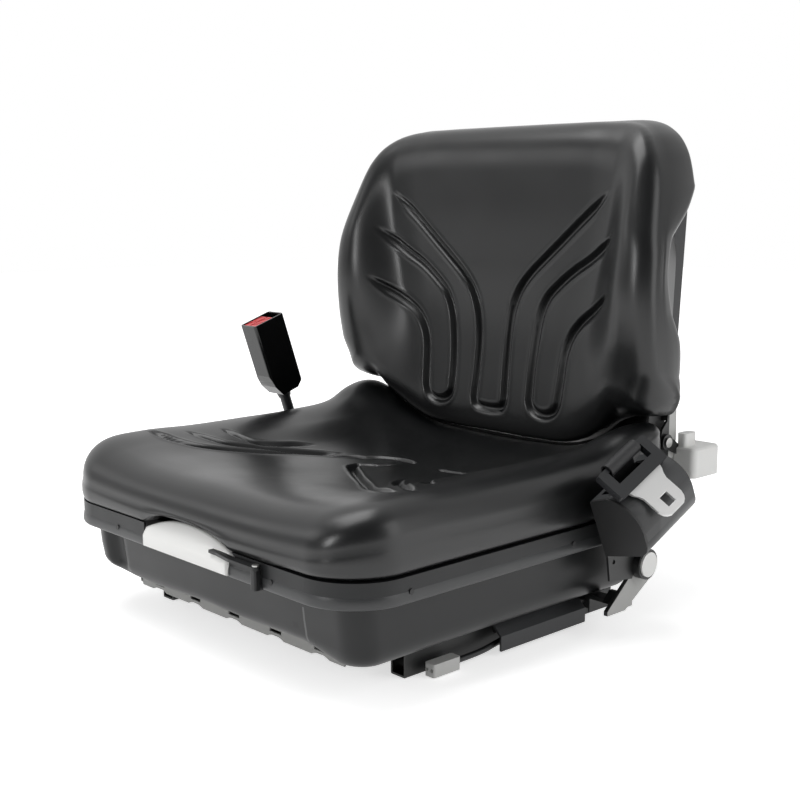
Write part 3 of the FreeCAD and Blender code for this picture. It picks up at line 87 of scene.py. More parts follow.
def material(name, colour, rough, metal=0.0, grain=0.0, grain_mm=1.0, spread=0.0, spec=0.5,
             cells=False, streak=None, patches=()):
    """Principled surface with a fine grain bump and a slight spread of roughness.

    The grain's height and pitch are in millimetres, and streak stretches its pattern. Each patch
    is (low corner, high corner, soft edge, colour) in millimetres, and paints the surface inside
    that box in another colour.
    """
    m = bpy.data.materials.new(name)
    m.use_nodes = True
    tree = m.node_tree
    shader = tree.nodes["Principled BSDF"]
    shader.inputs["Base Color"].default_value = linear(colour)
    shader.inputs["Roughness"].default_value = rough
    shader.inputs["Metallic"].default_value = metal
    shader.inputs["Specular IOR Level"].default_value = spec
    place = add(tree, "ShaderNodeTexCoord").outputs["Object"]
    if patches:
        axes = add(tree, "ShaderNodeSeparateXYZ", {0: place})
        tint = linear(colour)
        for low, high, soft, other in patches:
            inside = None
            for k in range(3):
                for edge, sign in ((low[k], 1), (high[k], -1)):
                    step = add(tree, "ShaderNodeMapRange", {
                        "Value": axes.outputs[k], "From Min": (edge - sign * soft) * MM,
                        "From Max": (edge + sign * soft) * MM}, interpolation_type="SMOOTHSTEP")
                    if inside is None:
                        inside = step.outputs[0]
                    else:
                        inside = add(tree, "ShaderNodeMath", {0: inside, 1: step.outputs[0]},
                                     operation="MULTIPLY").outputs[0]
            tint = add(tree, "ShaderNodeMix", {0: inside, 6: tint, 7: linear(other)},
                       data_type="RGBA").outputs[2]
        tree.links.new(tint, shader.inputs["Base Color"])
    if streak:
        place = add(tree, "ShaderNodeMapping", {"Vector": place, "Scale": streak}).outputs[0]
    if spread:
        wide = add(tree, "ShaderNodeTexNoise", {"Vector": place, "Scale": 14.0, "Detail": 3.0})
        level = add(tree, "ShaderNodeMapRange", {
            "Value": wide.outputs["Fac"], "From Min": 0.3, "From Max": 0.7,
            "To Min": rough - spread, "To Max": rough + spread})
        tree.links.new(level.outputs[0], shader.inputs["Roughness"])
    if grain:
        if cells:
            tex = add(tree, "ShaderNodeTexVoronoi", {"Vector": place, "Scale": 1000.0 / grain_mm},
                      feature="SMOOTH_F1")
            height = tex.outputs["Distance"]
        else:
            tex = add(tree, "ShaderNodeTexNoise", {"Vector": place, "Scale": 1000.0 / grain_mm,
                                                   "Detail": 2.0})
            height = tex.outputs["Fac"]
        bump = add(tree, "ShaderNodeBump", {"Height": height, "Strength": 1.0,
                                            "Distance": grain * MM})
        tree.links.new(bump.outputs[0], shader.inputs["Normal"])
    return m


# A grain of about a millimetre is near the render's pixel, so it mostly softens the sheen.

# Coated fabric drawn over moulded foam: near black, with a leather grain
VINYL = material("vinyl", "0E0F10", 0.31, grain=0.03, grain_mm=1.1, spread=0.03, cells=True)
# Powder coat on steel: deep black, half gloss, with a faint orange peel
PAINT = material("black_paint", "121313", 0.40, grain=0.03, grain_mm=1.8, spread=0.04)
# The same coat on the base, with a painted highlight: its front flange is painted grey where it
# catches the light
BASE = material("base_paint", "121313", 0.42, grain=0.03, grain_mm=1.8, spread=0.04,
                patches=[((-400, -200, 0), (400, -183, 60), 0.8, "8C8C8A")])
# Paint of the pan's pressing, duller than the cushions
PAN = material("pan_paint", "191A1B", 0.42, grain=0.02, grain_mm=1.4, spread=0.04, spec=0.32)
# The pan's paint where its rolled edge catches the light
LIP = material("lip_paint", "2E2F30", 0.40, grain=0.02, grain_mm=1.4, spread=0.04)
# Moulded rubber, with a painted highlight along its seam, and two dark marks of painted shade for
# small holes, which its sheen all but hides
GAITER = material("gaiter_rubber", "141516", 0.36, grain=0.02, grain_mm=1.6, spread=0.04,
                  spec=0.32,
                  patches=[((132, -260, 60.5), (140, -180, 66), 0.4, "020202"),
                           ((161.5, -260, 52.6), (164.5, -180, 55.6), 0.6, "020202"),
                           ((149, -260, 50), (151.5, -180, 84), 0.5, "5A5A5A")])
# Painted sheet steel, dull and a little grey, as paint on a hand lever wears
PADDLE = material("paddle_paint", "2C2D2F", 0.5, grain=0.03, grain_mm=1.2, spread=0.04)
# Moulded plastic with a fine texture, satin black
PLASTIC = material("black_plastic", "1B1C1E", 0.40, grain=0.04, grain_mm=0.9, spread=0.04)
# Dull black of the rim's screws, the retractor's end cap and the hinge's shields
MATT = material("matt_black", "0A0A0B", 0.5, grain=0.04, grain_mm=0.9, spread=0.04)
# Moulded plastic of the retractor's cover, charcoal, with painted shade that makes its front end
# blacker
COVER = material("cover_plastic", "303132", 0.42, grain=0.04, grain_mm=0.9, spread=0.04,
                 patches=[((200, 50, 40), (400, 98, 150), 3.0, "1B1C1D")])
# Polished plastic of the buckle, which mirrors its surroundings
GLOSS = material("gloss_black", "08090A", 0.18, spread=0.03)
# Moulded plastics, satin, in white and in two light greys
WHITE = material("white_plastic", "E9E9E7", 0.42, grain=0.02, grain_mm=1.5, spread=0.03)
GREY = material("grey_plastic", "E4E4E2", 0.45, grain=0.02, grain_mm=1.5, spread=0.03)
PLUG = material("plug_plastic", "D2D2D0", 0.45, grain=0.02, grain_mm=1.5, spread=0.03)
# Moulded plastic of the press button, glossier than the rest
RED = material("red_button", "C4262B", 0.35, spread=0.03, spec=0.6)
# Zinc plate on steel: a grey metal with soft, uneven reflections
ZINC = material("zinc_steel", "A8A8A6", 0.34, metal=1.0, grain=0.015, grain_mm=0.8, spread=0.06)
# Stamped and tumbled steel; not wholly metal, so that it stays as pale as in the photograph
STEEL = material("tongue_steel", "DADAD9", 0.32, metal=0.7, grain=0.01, grain_mm=0.6,
                 spread=0.05, streak=(1.0, 0.2, 1.0))
# Bare spring steel, dark grey
SPRING = material("spring_steel", "55565A", 0.4, metal=1.0, spread=0.05)
# Woven belt: dull black, with its ribs drawn out along Y
WEB = material("belt_webbing", "161618", 0.55, grain=0.3, grain_mm=1.4, spread=0.05,
               streak=(1.0, 0.12, 1.0))
# Moulded rubber, dull
RUBBER = material("stop_rubber", "18181A", 0.7, grain=0.05, grain_mm=1.2, spread=0.05)
# Painted bracket, with a painted highlight in pale grey on its outer face
STRAP = material("strap_paint", "121313", 0.42, grain=0.03, grain_mm=1.8, spread=0.04,
                 patches=[((251.2, 60, 20), (253, 190, 90), 0.3, "A8A8A6")])
# Painted back plate, with a bright rear part beside each hinge
BACKSTEEL = material("back_steel", "0E0F0F", 0.42, grain=0.02, grain_mm=1.8, spread=0.04,
                     patches=[((205, 246.5, 150), (230, 300, 252), 0.6, "B4B4B2"),
                              ((-230, 246.5, 150), (-205, 300, 252), 0.6, "B4B4B2")])


def paint(finish, *names):
    """Give CAD nodes a material in every slot."""
    for name in names:
        data = nodes[name].data
        if not data.materials:
            data.materials.append(finish)
        for i in range(len(data.materials)):
            data.materials[i] = finish


paint(PAINT, "lower_rail_left", "lower_rail_right", "slider_left", "slider_right",
      "outer_arms", "inner_arms", "suspension_top", "adjuster_gearbox",
      "spring_yoke", "retractor_frame", "buckle_bracket", "lever_rod",
      "hinge_brackets", "recline_lever", "damper_tube")
paint(BASE, "base_frame")
paint(PAN, "seat_pan", "handle_arm", "adjuster_shaft")
paint(PADDLE, "slide_paddle")
paint(PLASTIC, "back_shell", "buckle_stalk", "tongue_guide", "lead_gland", "seat_switch",
      "belt_reel")
paint(COVER, "retractor_cover")
paint(MATT, "rim_screws", "retractor_end_cap")
paint(GLOSS, "buckle_shell")
paint(WHITE, "bolt_cap")
paint(GREY, "recline_grip", "upper_rollers", "lower_rollers")
paint(PLUG, "lead_plug")
paint(RED, "buckle_button")
paint(ZINC, "base_pivot_pins", "anchor_bolt", "buckle_bolt", "damper_base_pin", "damper_rod",
      "top_pivot_pins", "damper_top_pin", "adjuster_spindle", "hinge_bolts",
      "handle_pin", "centre_pins", "recline_pin")
paint(BACKSTEEL, "back_plate")
paint(STRAP, "retractor_bracket")
paint(STEEL, "belt_tongue")
paint(SPRING, "tension_springs")
paint(WEB, "webbing")
paint(RUBBER, "bump_stops")


# Mesh helpers

def mesh_object(name, verts, faces, finish, smooth=True, close=True):
    """Mesh object in metres from points in millimetres; close joins its doubles."""
    data = bpy.data.meshes.new(name)
    data.from_pydata([tuple(float(c) * MM for c in v) for v in verts], [], faces)
    data.materials.append(finish)
    obj = bpy.data.objects.new(name, data)
    bpy.context.scene.collection.objects.link(obj)
    if close:
        bm = bmesh.new()
        bm.from_mesh(data)
        bmesh.ops.remove_doubles(bm, verts=bm.verts, dist=1e-6)
        bmesh.ops.recalc_face_normals(bm, faces=bm.faces)
        bm.to_mesh(data)
        bm.free()
    if smooth:
        data.polygons.foreach_set("use_smooth", [True] * len(data.polygons))
    data.update()
    return obj


def ring_faces(rows, cols, wrap=True):
    """Quads of a grid of rows by cols points; wrap joins the last column to the first."""
    faces = []
    for r in range(rows - 1):
        for c in range(cols if wrap else cols - 1):
            d = (c + 1) % cols
            faces.append((r * cols + c, r * cols + d, (r + 1) * cols + d, (r + 1) * cols + c))
    return faces


def ramp(value, start, length):
    """Even blend from 0 at the start to 1 one length further on."""
    t = np.clip((value - start) / length, 0.0, 1.0)
    return t * t * (3 - 2 * t)


def unit(vectors):
    """The same directions with length 1."""
    return vectors / np.linalg.norm(vectors, axis=1)[:, None]


def hermite(t):
    """Weights of the first value, its slope, the second value and its slope."""
    return ((1 + 2 * t) * (1 - t) ** 2, t * (1 - t) ** 2, t * t * (3 - 2 * t), t * t * (t - 1))


def curve_table(x, xs, ys):
    """Smooth interpolation through a short table."""
    xs = np.asarray(xs, float)
    ys = np.asarray(ys, float)
    slope = np.gradient(ys, xs)
    x = np.clip(x, xs[0], xs[-1])
    i = np.clip(np.searchsorted(xs, x) - 1, 0, len(xs) - 2)
    h = xs[i + 1] - xs[i]
    a, b, c, d = hermite((x - xs[i]) / h)
    return a * ys[i] + b * h * slope[i] + c * ys[i + 1] + d * h * slope[i + 1]


def smooth_line(points, count):
    """Catmull-Rom curve through points, evenly resampled."""
    p = np.asarray(points, float)
    p = np.vstack([2 * p[0] - p[1], p, 2 * p[-1] - p[-2]])
    out = []
    for i in range(1, len(p) - 2):
        for t in np.linspace(0, 1, 16, endpoint=False):
            a, b, c, d = p[i - 1], p[i], p[i + 1], p[i + 2]
            out.append(0.5 * (2 * b + (c - a) * t + (2 * a - 5 * b + 4 * c - d) * t * t
                              + (3 * b - a - 3 * c + d) * t ** 3))
    out.append(p[-2])
    return even_line(out, count)


def even_line(points, count):
    """Polyline resampled at even steps."""
    p = np.array(points, float)
    run = np.concatenate([[0], np.cumsum(np.linalg.norm(np.diff(p, axis=0), axis=1))])
    even = np.linspace(0, run[-1], count)
    return np.stack([np.interp(even, run, p[:, k]) for k in range(p.shape[1])], 1)


def distance_to(line, px, py):
    """Distance of many plane points to a polyline, and how far along it (0 to 1)."""
    best = np.full(px.shape, 1e9)
    along = np.zeros(px.shape)
    run = np.concatenate([[0], np.cumsum(np.linalg.norm(np.diff(line, axis=0), axis=1))])
    for i in range(len(line) - 1):
        a, b = line[i], line[i + 1]
        ab = b - a
        t = ((px - a[0]) * ab[0] + (py - a[1]) * ab[1]) / max(ab @ ab, 1e-9)
        t = np.clip(t, 0, 1)
        d = np.hypot(px - a[0] - t * ab[0], py - a[1] - t * ab[1])
        nearer = d < best
        best = np.where(nearer, d, best)
        along = np.where(nearer, (run[i] + t * (run[i + 1] - run[i])) / run[-1], along)
    return best, along


def groove_depth(lines, px, py):
    """Depth of pressed channels with crisp edges, drawn to a point at their open ends.

    Each channel is (line, half width, depth, share of its length over which its start fades,
    the same for its end), and 0 leaves an end square.
    """
    depth = np.zeros(px.shape)
    for line, half, deep, open_start, open_end in lines:
        d, along = distance_to(line, px, py)
        fade = np.ones(px.shape)
        if open_start:
            fade = fade * ramp(along, 0, open_start)
        if open_end:
            fade = fade * ramp(1 - along, 0, open_end)
        reach = half * (0.45 + 0.55 * fade)
        cut = deep * fade * (1 - ramp(d, reach * 0.22, reach * 0.95))
        lip = -0.5 * fade * np.exp(-((d - reach * 1.5) / (reach * 0.35)) ** 2)
        depth = np.where(np.abs(cut) > 0.02, np.maximum(depth, cut), depth)
        depth = np.where(depth < 0.02, np.minimum(depth, lip), depth)
    return depth


def rounded_rectangle(y0, y1, half, front, rear, count, steps):
    """Closed rectangle with round corners, counter-clockwise from the corner at +x in front."""
    points = []
    for cx, cy, start, radius in ((half - front, y0 + front, -90, front),
                                  (half - rear, y1 - rear, 0, rear),
                                  (rear - half, y1 - rear, 90, rear),
                                  (front - half, y0 + front, 180, front)):
        for turn in np.linspace(0, 90, steps):
            t = math.radians(start + turn)
            points.append((cx + radius * math.cos(t), cy + radius * math.sin(t)))
    return even_line(points + points[:1], count + 1)[:-1]


def edge_drop(inset, roll):
    """Share of the fall of a rolled edge, 1 at the outline and 0 from the roll inwards."""
    t = np.clip(1 - inset / roll, 0, 1)
    return 1 - np.clip(1 - t ** 2.5, 0, 1) ** 0.4


def star_points(ring, centre, near, near_count, count=112):
    """Points on rays from an outline to a centre, closer together near the outline.

    The first near_count points of a ray lie in the first near millimetres, and count points
    go on from there to the centre.
    """
    step_in = np.asarray(centre, float) - ring
    length = np.linalg.norm(step_in, axis=1)
    close = near * (1 - np.cos(np.linspace(0, np.pi / 2, near_count)))
    shares = np.array([np.concatenate([close, np.linspace(near, full, count)[1:]]) / full
                       for full in length])
    a = ring[:, 0:1] + step_in[:, 0:1] * shares
    b = ring[:, 1:2] + step_in[:, 1:2] * shares
    return a, b


def face_rings(x, y, z):
    """Rings of a cushion's face, from its centre out to its edge."""
    return [np.stack([x[:, j], y[:, j], z[:, j]], 1) for j in range(x.shape[1] - 1, -1, -1)]


# Back cushion

# Heights, with the front surface's place on the middle line, how far the bolsters stand out from
# it, where they begin, and how far back the side walls reach
BACK_Z = [160, 204, 245, 288, 370, 453, 500, 530]
BACK_CENTRE = [182, 186, 191, 195, 196, 196, 199, 204]
BOLSTER_Z = [160, 180, 200, 214, 235, 250, 300, 350, 400, 450, 490, 530]
BOLSTER = [3, 6, 14, 22, 28, 30, 42, 46, 41, 30, 22, 14]
INNER_Z = [160, 250, 300, 350, 412, 455, 530]
INNER = [112, 118, 134, 148, 163, 168, 168]
SIDE_Z = [160, 214, 227, 239, 256, 274, 294, 333, 376, 402, 417, 431, 449, 470, 485, 530]
SIDE_REAR = [236, 216, 216, 220, 225, 226, 224, 205, 196, 207, 224, 240, 255, 270, 279, 276]
BOLSTER_CREST = 214.0     # |x| of the bolsters' crests
SOFT_INSIDE = 34          # how far inside its start a bolster begins to swell
SOFT_CREST = 222
BACK_MIDDLE = (0.0, 335.0)
BACK_GROOVE = (5.2, 6.5)  # half width and depth
REAR_Y, REAR_Z, REAR_TILT = 245.3, 250.0, 4.0


def back_outline_points():
    """Closed outline of the back cushion, its side wings cut off level near the bottom."""
    right = [(0, 169), (55, 169), (104, 171), (125, 176), (139, 181), (152, 188), (163, 195),
             (173, 203), (182, 209), (194, 212.5), (208, 213.5), (220, 215), (232, 218),
             (240, 226), (244.5, 240), (246, 260), (246.5, 300), (246, 345), (244.5, 385),
             (240.5, 408), (235, 434), (229.5, 457), (223, 477), (213, 496), (198, 513),
             (174, 524), (130, 527.5), (60, 528), (0, 528)]
    left = [(-x, z) for x, z in reversed(right[1:-1])]
    ring = np.array(right + left, float)
    return smooth_line(np.vstack([ring, ring[:1]]), 561)[:-1]


def back_rear(z):
    """How far back the flat rear face stands."""
    return REAR_Y + (z - REAR_Z) * math.tan(math.radians(REAR_TILT))


def back_front(x, z):
    """How far forward the back cushion's front surface stands."""
    centre = curve_table(z, BACK_Z, BACK_CENTRE)
    inner = curve_table(z, INNER_Z, INNER)
    wing = curve_table(z, BOLSTER_Z, BOLSTER)
    soft = ramp(np.abs(x) - inner, -SOFT_INSIDE, SOFT_CREST - inner + SOFT_INSIDE)
    firm = ramp(np.abs(x), inner, BOLSTER_CREST - inner)
    rise = 0.45 * soft + 0.48 * firm + 0.07 * (x / HALF_WIDTH) ** 2
    return centre - wing * rise


def back_grooves():
    """Three channels a side, joined in pairs at the bottom."""
    a = [(172, 457), (147, 436), (121, 415), (97, 395), (75, 377), (55, 360), (39, 342),
         (28.5, 320), (23.5, 293), (22.5, 264), (23, 236), (24, 214)]
    centre = [(24, 220), (23.5, 209), (19, 202), (9, 200), (0, 199.5)]
    b = [(188, 412), (165, 394), (143, 379), (120, 366), (98, 350), (80, 333), (70, 312),
         (65, 285), (62, 250), (62, 216)]
    c = [(190, 350), (170, 335), (150, 322), (131, 309), (117, 293), (109, 272), (106.5, 245),
         (105, 220)]
    bottom = [(105, 226), (103.5, 214), (97, 205), (84, 201), (71, 204), (63.5, 212), (62, 224)]
    lines = []
    for s in (-1, 1):
        for pts, start in ((a, 0.14), (b, 0.15), (c, 0.2)):
            lines.append((smooth_line([(s * x, z) for x, z in pts], 50), *BACK_GROOVE, start, 0))
        for pts in (bottom, centre):
            lines.append((smooth_line([(s * x, z) for x, z in pts], 24), *BACK_GROOVE, 0, 0))
    return lines


def back_face(ring):
    """Rings of the grooved front surface, from its centre out to its rolled edge."""
    x, z = star_points(ring, BACK_MIDDLE, near=30.0, near_count=16)
    inset, _ = distance_to(np.vstack([ring[::3], ring[:1]]), x, z)
    inset[:, 0] = 0.0
    # The edge rolls over a wider band, and falls further, at the heels and towards the top
    heel = ramp(np.abs(x), 168, 24) * (1 - ramp(z, 236, 34))
    upper = ramp(z, 392, 88)
    corner = upper * ramp(np.abs(x), 110, 80)
    roll = 33.0 + 13.0 * heel + 20.0 * upper + 8.0 * corner
    fall = 25.0 + 29.0 * heel + 5.0 * upper + 3.0 * corner
    y = back_front(x, z) + fall * edge_drop(inset, roll) + groove_depth(back_grooves(), x, z)
    return face_rings(x, y, z)


def back_walls(ring, edge):
    """Rings of the side walls, their rounded rear edge and the rear face."""
    # The side walls end where the table says, the top and bottom ones on the rear face
    plane = back_rear(edge[:, 2])
    side = ramp(np.abs(edge[:, 0]), 120, 80)
    rear = plane * (1 - side) + curve_table(edge[:, 2], SIDE_Z, SIDE_REAR) * side
    rear = np.clip(rear, edge[:, 1] + 8, plane + 2)
    inward = unit(np.asarray(BACK_MIDDLE) - ring)
    round_r = np.minimum(16.0 - 7.0 * ramp(edge[:, 2], 400, 60), (rear - edge[:, 1]) * 0.5)
    wall = rear - round_r
    bulge, most_flare = 1.2, 4.0
    flare = most_flare * (ramp(edge[:, 2], 462, 42) * ramp(np.abs(edge[:, 0]), 118, 50))[:, None]
    rings = []
    for share in (0.25, 0.5, 0.75, 1.0):
        loop = edge.copy()
        loop[:, 1] = edge[:, 1] + (wall - edge[:, 1]) * share
        loop[:, [0, 2]] -= inward * (bulge * math.sin(math.pi * share) + flare * share)
        rings.append(loop)
    edge = edge.copy()
    edge[:, [0, 2]] -= inward * flare
    for turn in np.linspace(15, 90, 6):
        t = math.radians(turn)
        loop = edge.copy()
        loop[:, 1] = wall + round_r * math.sin(t)
        loop[:, [0, 2]] += inward * (round_r * (1 - math.cos(t)))[:, None]
        rings.append(loop)
    for inset_mm, share in ((26.0, 0.45), (36.0, 1.0)):
        loop = edge.copy()
        loop[:, [0, 2]] += inward * inset_mm
        loop[:, 1] = rear * (1 - share) + back_rear(loop[:, 2]) * share
        rings.append(loop)
    last = rings[-1]
    for share in (0.5, 0.0):
        loop = last.copy()
        loop[:, 0] = last[:, 0] * share
        loop[:, 2] = BACK_MIDDLE[1] + (last[:, 2] - BACK_MIDDLE[1]) * share
        loop[:, 1] = back_rear(loop[:, 2])
        rings.append(loop)
    return rings


def make_back_cushion():
    """Grooved back cushion with bolsters, in one closed skin."""
    ring = back_outline_points()
    rings = back_face(ring)
    rings += back_walls(ring, rings[-1])
    obj = mesh_object("back_cushion_pad", np.concatenate(rings), ring_faces(len(rings), len(ring)),
                      VINYL)
    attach(obj, "backrest")
    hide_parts("back_cushion")


# Seat cushion

# Height of the top over a grid of y (rows) and |x| (columns)
SEAT_Y = [-240, -200, -150, -90, -20, 60, 130, 160, 190, 213]
SEAT_X = [0, 60, 120, 165, 200, 222, 240]
SEAT_Z = [
    [167, 167, 168, 170, 173, 175, 174],
    [172, 172, 174, 179, 184, 185, 183],
    [168, 169, 173, 181, 187, 188, 185],
    [160, 161, 168, 180, 186, 186, 183],
    [153, 154, 163, 179, 186, 186, 182],
    [150, 151, 161, 178, 187, 187, 183],
    [152, 153, 162, 180, 193, 194, 190],
    [155, 156, 164, 183, 202, 205, 200],
    [161, 162, 169, 187, 206, 210, 205],
    [166, 167, 172, 187, 205, 208, 203],
]
SEAT_REAR = 212.0
SEAT_REAR_CORNER = 30.0
SEAT_MIDDLE = (0.0, -15.0)
SEAT_LOW = 123.3          # lower edge of the side walls
SEAT_UNDER = 119.0        # underside, inside the pan's rim
ARCH_X, ARCH_TOP = -5.0, 138.0       # crown of the notch over the front grip
ARCH_HALF, ARCH_RISE = 90.0, 25.0


def seat_height(x, y):
    """Height of the seat's top, before its edges roll down."""
    ax = np.abs(x)
    columns = np.array([curve_table(ax, SEAT_X, row) for row in SEAT_Z])
    ys = np.asarray(SEAT_Y, float)
    yy = np.clip(y, ys[0], ys[-1])
    i = np.clip(np.searchsorted(ys, yy) - 1, 0, len(ys) - 2)
    slopes = np.gradient(columns, ys, axis=0)
    h = ys[i + 1] - ys[i]
    a, b, c, d = hermite((yy - ys[i]) / h)
    low, low_slope, high, high_slope = (
        np.take_along_axis(table, k[None, ...], 0)[0]
        for table, k in ((columns, i), (slopes, i), (columns, i + 1), (slopes, i + 1)))
    return a * low + b * h * low_slope + c * high + d * h * high_slope


def seat_grooves():
    """Fans of pressed channels either side of the seat's middle."""
    far = [
        ([(-213, -149), (-189, -147), (-163, -140), (-139, -121), (-119, -75), (-102, -18),
          (-79, 23), (-61, 45)], 5.2, 6.0, 0.12, 0),
        ([(-190, -114), (-179, -111), (-164, -104), (-144, -91), (-131, -66), (-108, -13),
          (-83, 34)], 4.6, 5.5, 0.14, 0.15),
        ([(-183, -70), (-172, -68), (-153, -63), (-138, -53), (-130, -32), (-124, 0),
          (-118, 22)], 4.6, 5.5, 0.16, 0.25),
        ([(-61, 45), (-52, 60), (-34, 70), (-15, 70), (2, 67)], 5.0, 5.5, 0, 0.25),
    ]
    near = [
        ([(204, -146), (187, -147), (145, -124), (98, -91), (55, -58), (20, -36), (0, -22),
          (-20, -9), (-33, 2), (-36, 14)], 5.2, 6.0, 0.12, 0),
        ([(-36, 14), (-29, 23), (-19, 28), (-12, 50)], 4.6, 5.0, 0, 0.5),
        ([(214, -131), (200, -132), (165, -106), (124, -72), (83, -38), (62, -14),
          (56, 4)], 4.6, 5.5, 0.14, 0.2),
        ([(200, -96), (182, -92), (160, -72), (138, -44), (120, -10), (106, 22)],
         4.6, 5.5, 0.16, 0.25),
        ([(34, 66), (56, 62), (79, 59), (104, 50)], 4.2, 4.0, 0.2, 0.3),
    ]
    return [(smooth_line(pts, 50), half, deep, a, b) for pts, half, deep, a, b in far + near]


def seat_face(ring):
    """Rings of the dished, grooved top, from its centre out to its rolled edge."""
    x, y = star_points(ring, SEAT_MIDDLE, near=40.0, near_count=18)
    inset, _ = distance_to(np.vstack([ring, ring[:1]]), x, y)
    inset[:, 0] = 0.0
    back = ramp(y, 120, 75)
    roll = 38.0 - 22.0 * back
    fall = 30.0 - 23.0 * back
    z = seat_height(x, y) - fall * edge_drop(inset, roll) - groove_depth(seat_grooves(), x, y)
    return face_rings(x, y, z)


def seat_walls(ring, edge):
    """Rings of the side walls and the underside."""
    out = unit(ring - np.array(SEAT_MIDDLE))
    # The walls' lower edge rises over the arched grip, and tucks in except along the front
    arch_r = (ARCH_HALF ** 2 + ARCH_RISE ** 2) / (2 * ARCH_RISE)
    dx = np.abs(edge[:, 0] - ARCH_X)
    arch = ARCH_TOP - arch_r + np.sqrt(np.clip(arch_r ** 2 - dx ** 2, 0, None))
    foot = np.where((dx < ARCH_HALF + 2) & (edge[:, 1] < -200),
                    np.maximum(SEAT_LOW, arch + 2.0), SEAT_LOW)
    front = (1 - ramp(edge[:, 1], -215, 20)) * (1 - ramp(edge[:, 0], 130, 30))
    rings = []
    for share, bulge, tuck in ((0.15, 0.9, 0), (0.35, 1.6, 0), (0.6, 1.5, 0), (0.8, 0.5, 0.6),
                               (0.92, -0.6, 1.8), (1.0, -1.6, 3.4)):
        loop = edge.copy()
        loop[:, 2] = edge[:, 2] + (foot - edge[:, 2]) * share
        loop[:, :2] += out * (bulge - tuck * (1 - front))[:, None]
        rings.append(loop)
    for inset_mm in (10.0, 24.0):
        loop = rings[-1].copy()
        loop[:, :2] = edge[:, :2] - out * inset_mm
        rings.append(loop)
    under = edge.copy()
    under[:, :2] = edge[:, :2] - out * 26.0
    under[:, 2] = SEAT_UNDER
    rings.append(under)
    flat = under.copy()
    flat[:, :2] = SEAT_MIDDLE
    rings.append(flat)
    return rings


def make_seat_cushion():
    """Dished seat cushion in one closed skin, notched over the front handle."""
    ring = rounded_rectangle(PAN_FRONT, SEAT_REAR, HALF_WIDTH, CORNER, SEAT_REAR_CORNER,
                             count=560, steps=34)
    rings = seat_face(ring)
    rings += seat_walls(ring, rings[-1])
    obj = mesh_object("seat_cushion_pad", np.concatenate(rings), ring_faces(len(rings), len(ring)),
                      VINYL)
    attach(obj, "pan")
    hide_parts("seat_cushion")


make_back_cushion()
make_seat_cushion()


# Gaiter

def gaiter_hem(x, y):
    """Height of the gaiter's lower edge, which sags a little along its front."""
    front = np.interp(x, [-222, -200, -153, -119, -23, 42, 107, 143, 195, 222],
                      [46, 44, 41, 40, 43, 42, 44, 45, 37, 36])
    side = np.interp(y, [-200, -120, 60, 200], [36, 36, 35.5, 35.5])
    share = ramp(y, -205, 30)
    return front * (1 - share) + side * share


def make_gaiter():
    """Moulded skirt: upright walls, a rounded lower edge and a turned-in hem."""
    # Height, half width, front and rear of the walls
    levels = [(112.4, 222, -220, 192), (100, 222, -219, 192), (86, 222, -217.5, 192),
              (72, 222, -216, 192), (60, 221.5, -214, 192)]
    count, corner = 420, 26
    wall, hem_radius, fold_x, fold_depth = 2.0, 19.0, -173.0, 9.0
    rings = []
    for z, half, y0, y1 in levels:
        line = rounded_rectangle(y0, y1, half, corner, corner, count, steps=16)
        rings.append(np.column_stack([line, np.full(count, float(z))]))
    base = rings[-1]
    inward = unit(np.array([0.0, -10.0]) - base[:, :2])
    hem = gaiter_hem(base[:, 0], base[:, 1])
    for turn in np.linspace(12, 90, 8):
        t = math.radians(turn)
        loop = base.copy()
        loop[:, 2] = base[:, 2] - (base[:, 2] - hem) * math.sin(t)
        loop[:, :2] += inward * hem_radius * (1 - math.cos(t))
        rings.append(loop)
    for inset_mm, lift in ((24.0, 0.0), (24.0, 1.8), (19.0, 1.8)):
        loop = base.copy()
        loop[:, 2] = hem + lift
        loop[:, :2] += inward * inset_mm
        rings.append(loop)
    for z in (60, 100, 112.4):
        loop = base.copy()
        loop[:, 2] = z
        loop[:, :2] += inward * wall
        rings.append(loop)
    pts = np.array(rings)
    fold = np.exp(-((pts[..., 0] - fold_x) / 14) ** 4) * (pts[..., 1] < -150)
    fold = fold * ramp(pts[..., 2], 42, 16) * (1 - ramp(pts[..., 2], 98, 8))
    pts[..., 1] += fold_depth * fold
    obj = mesh_object("gaiter_skirt", pts.reshape(-1, 3), ring_faces(len(rings), count), GAITER)
    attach(obj, "base")
    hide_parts("gaiter")
    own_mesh(obj)


# Rim of the pan, front grip and hinge shields

GRIP_GAP = (-75.5, 60.0)  # where the front handle's grip interrupts the rim


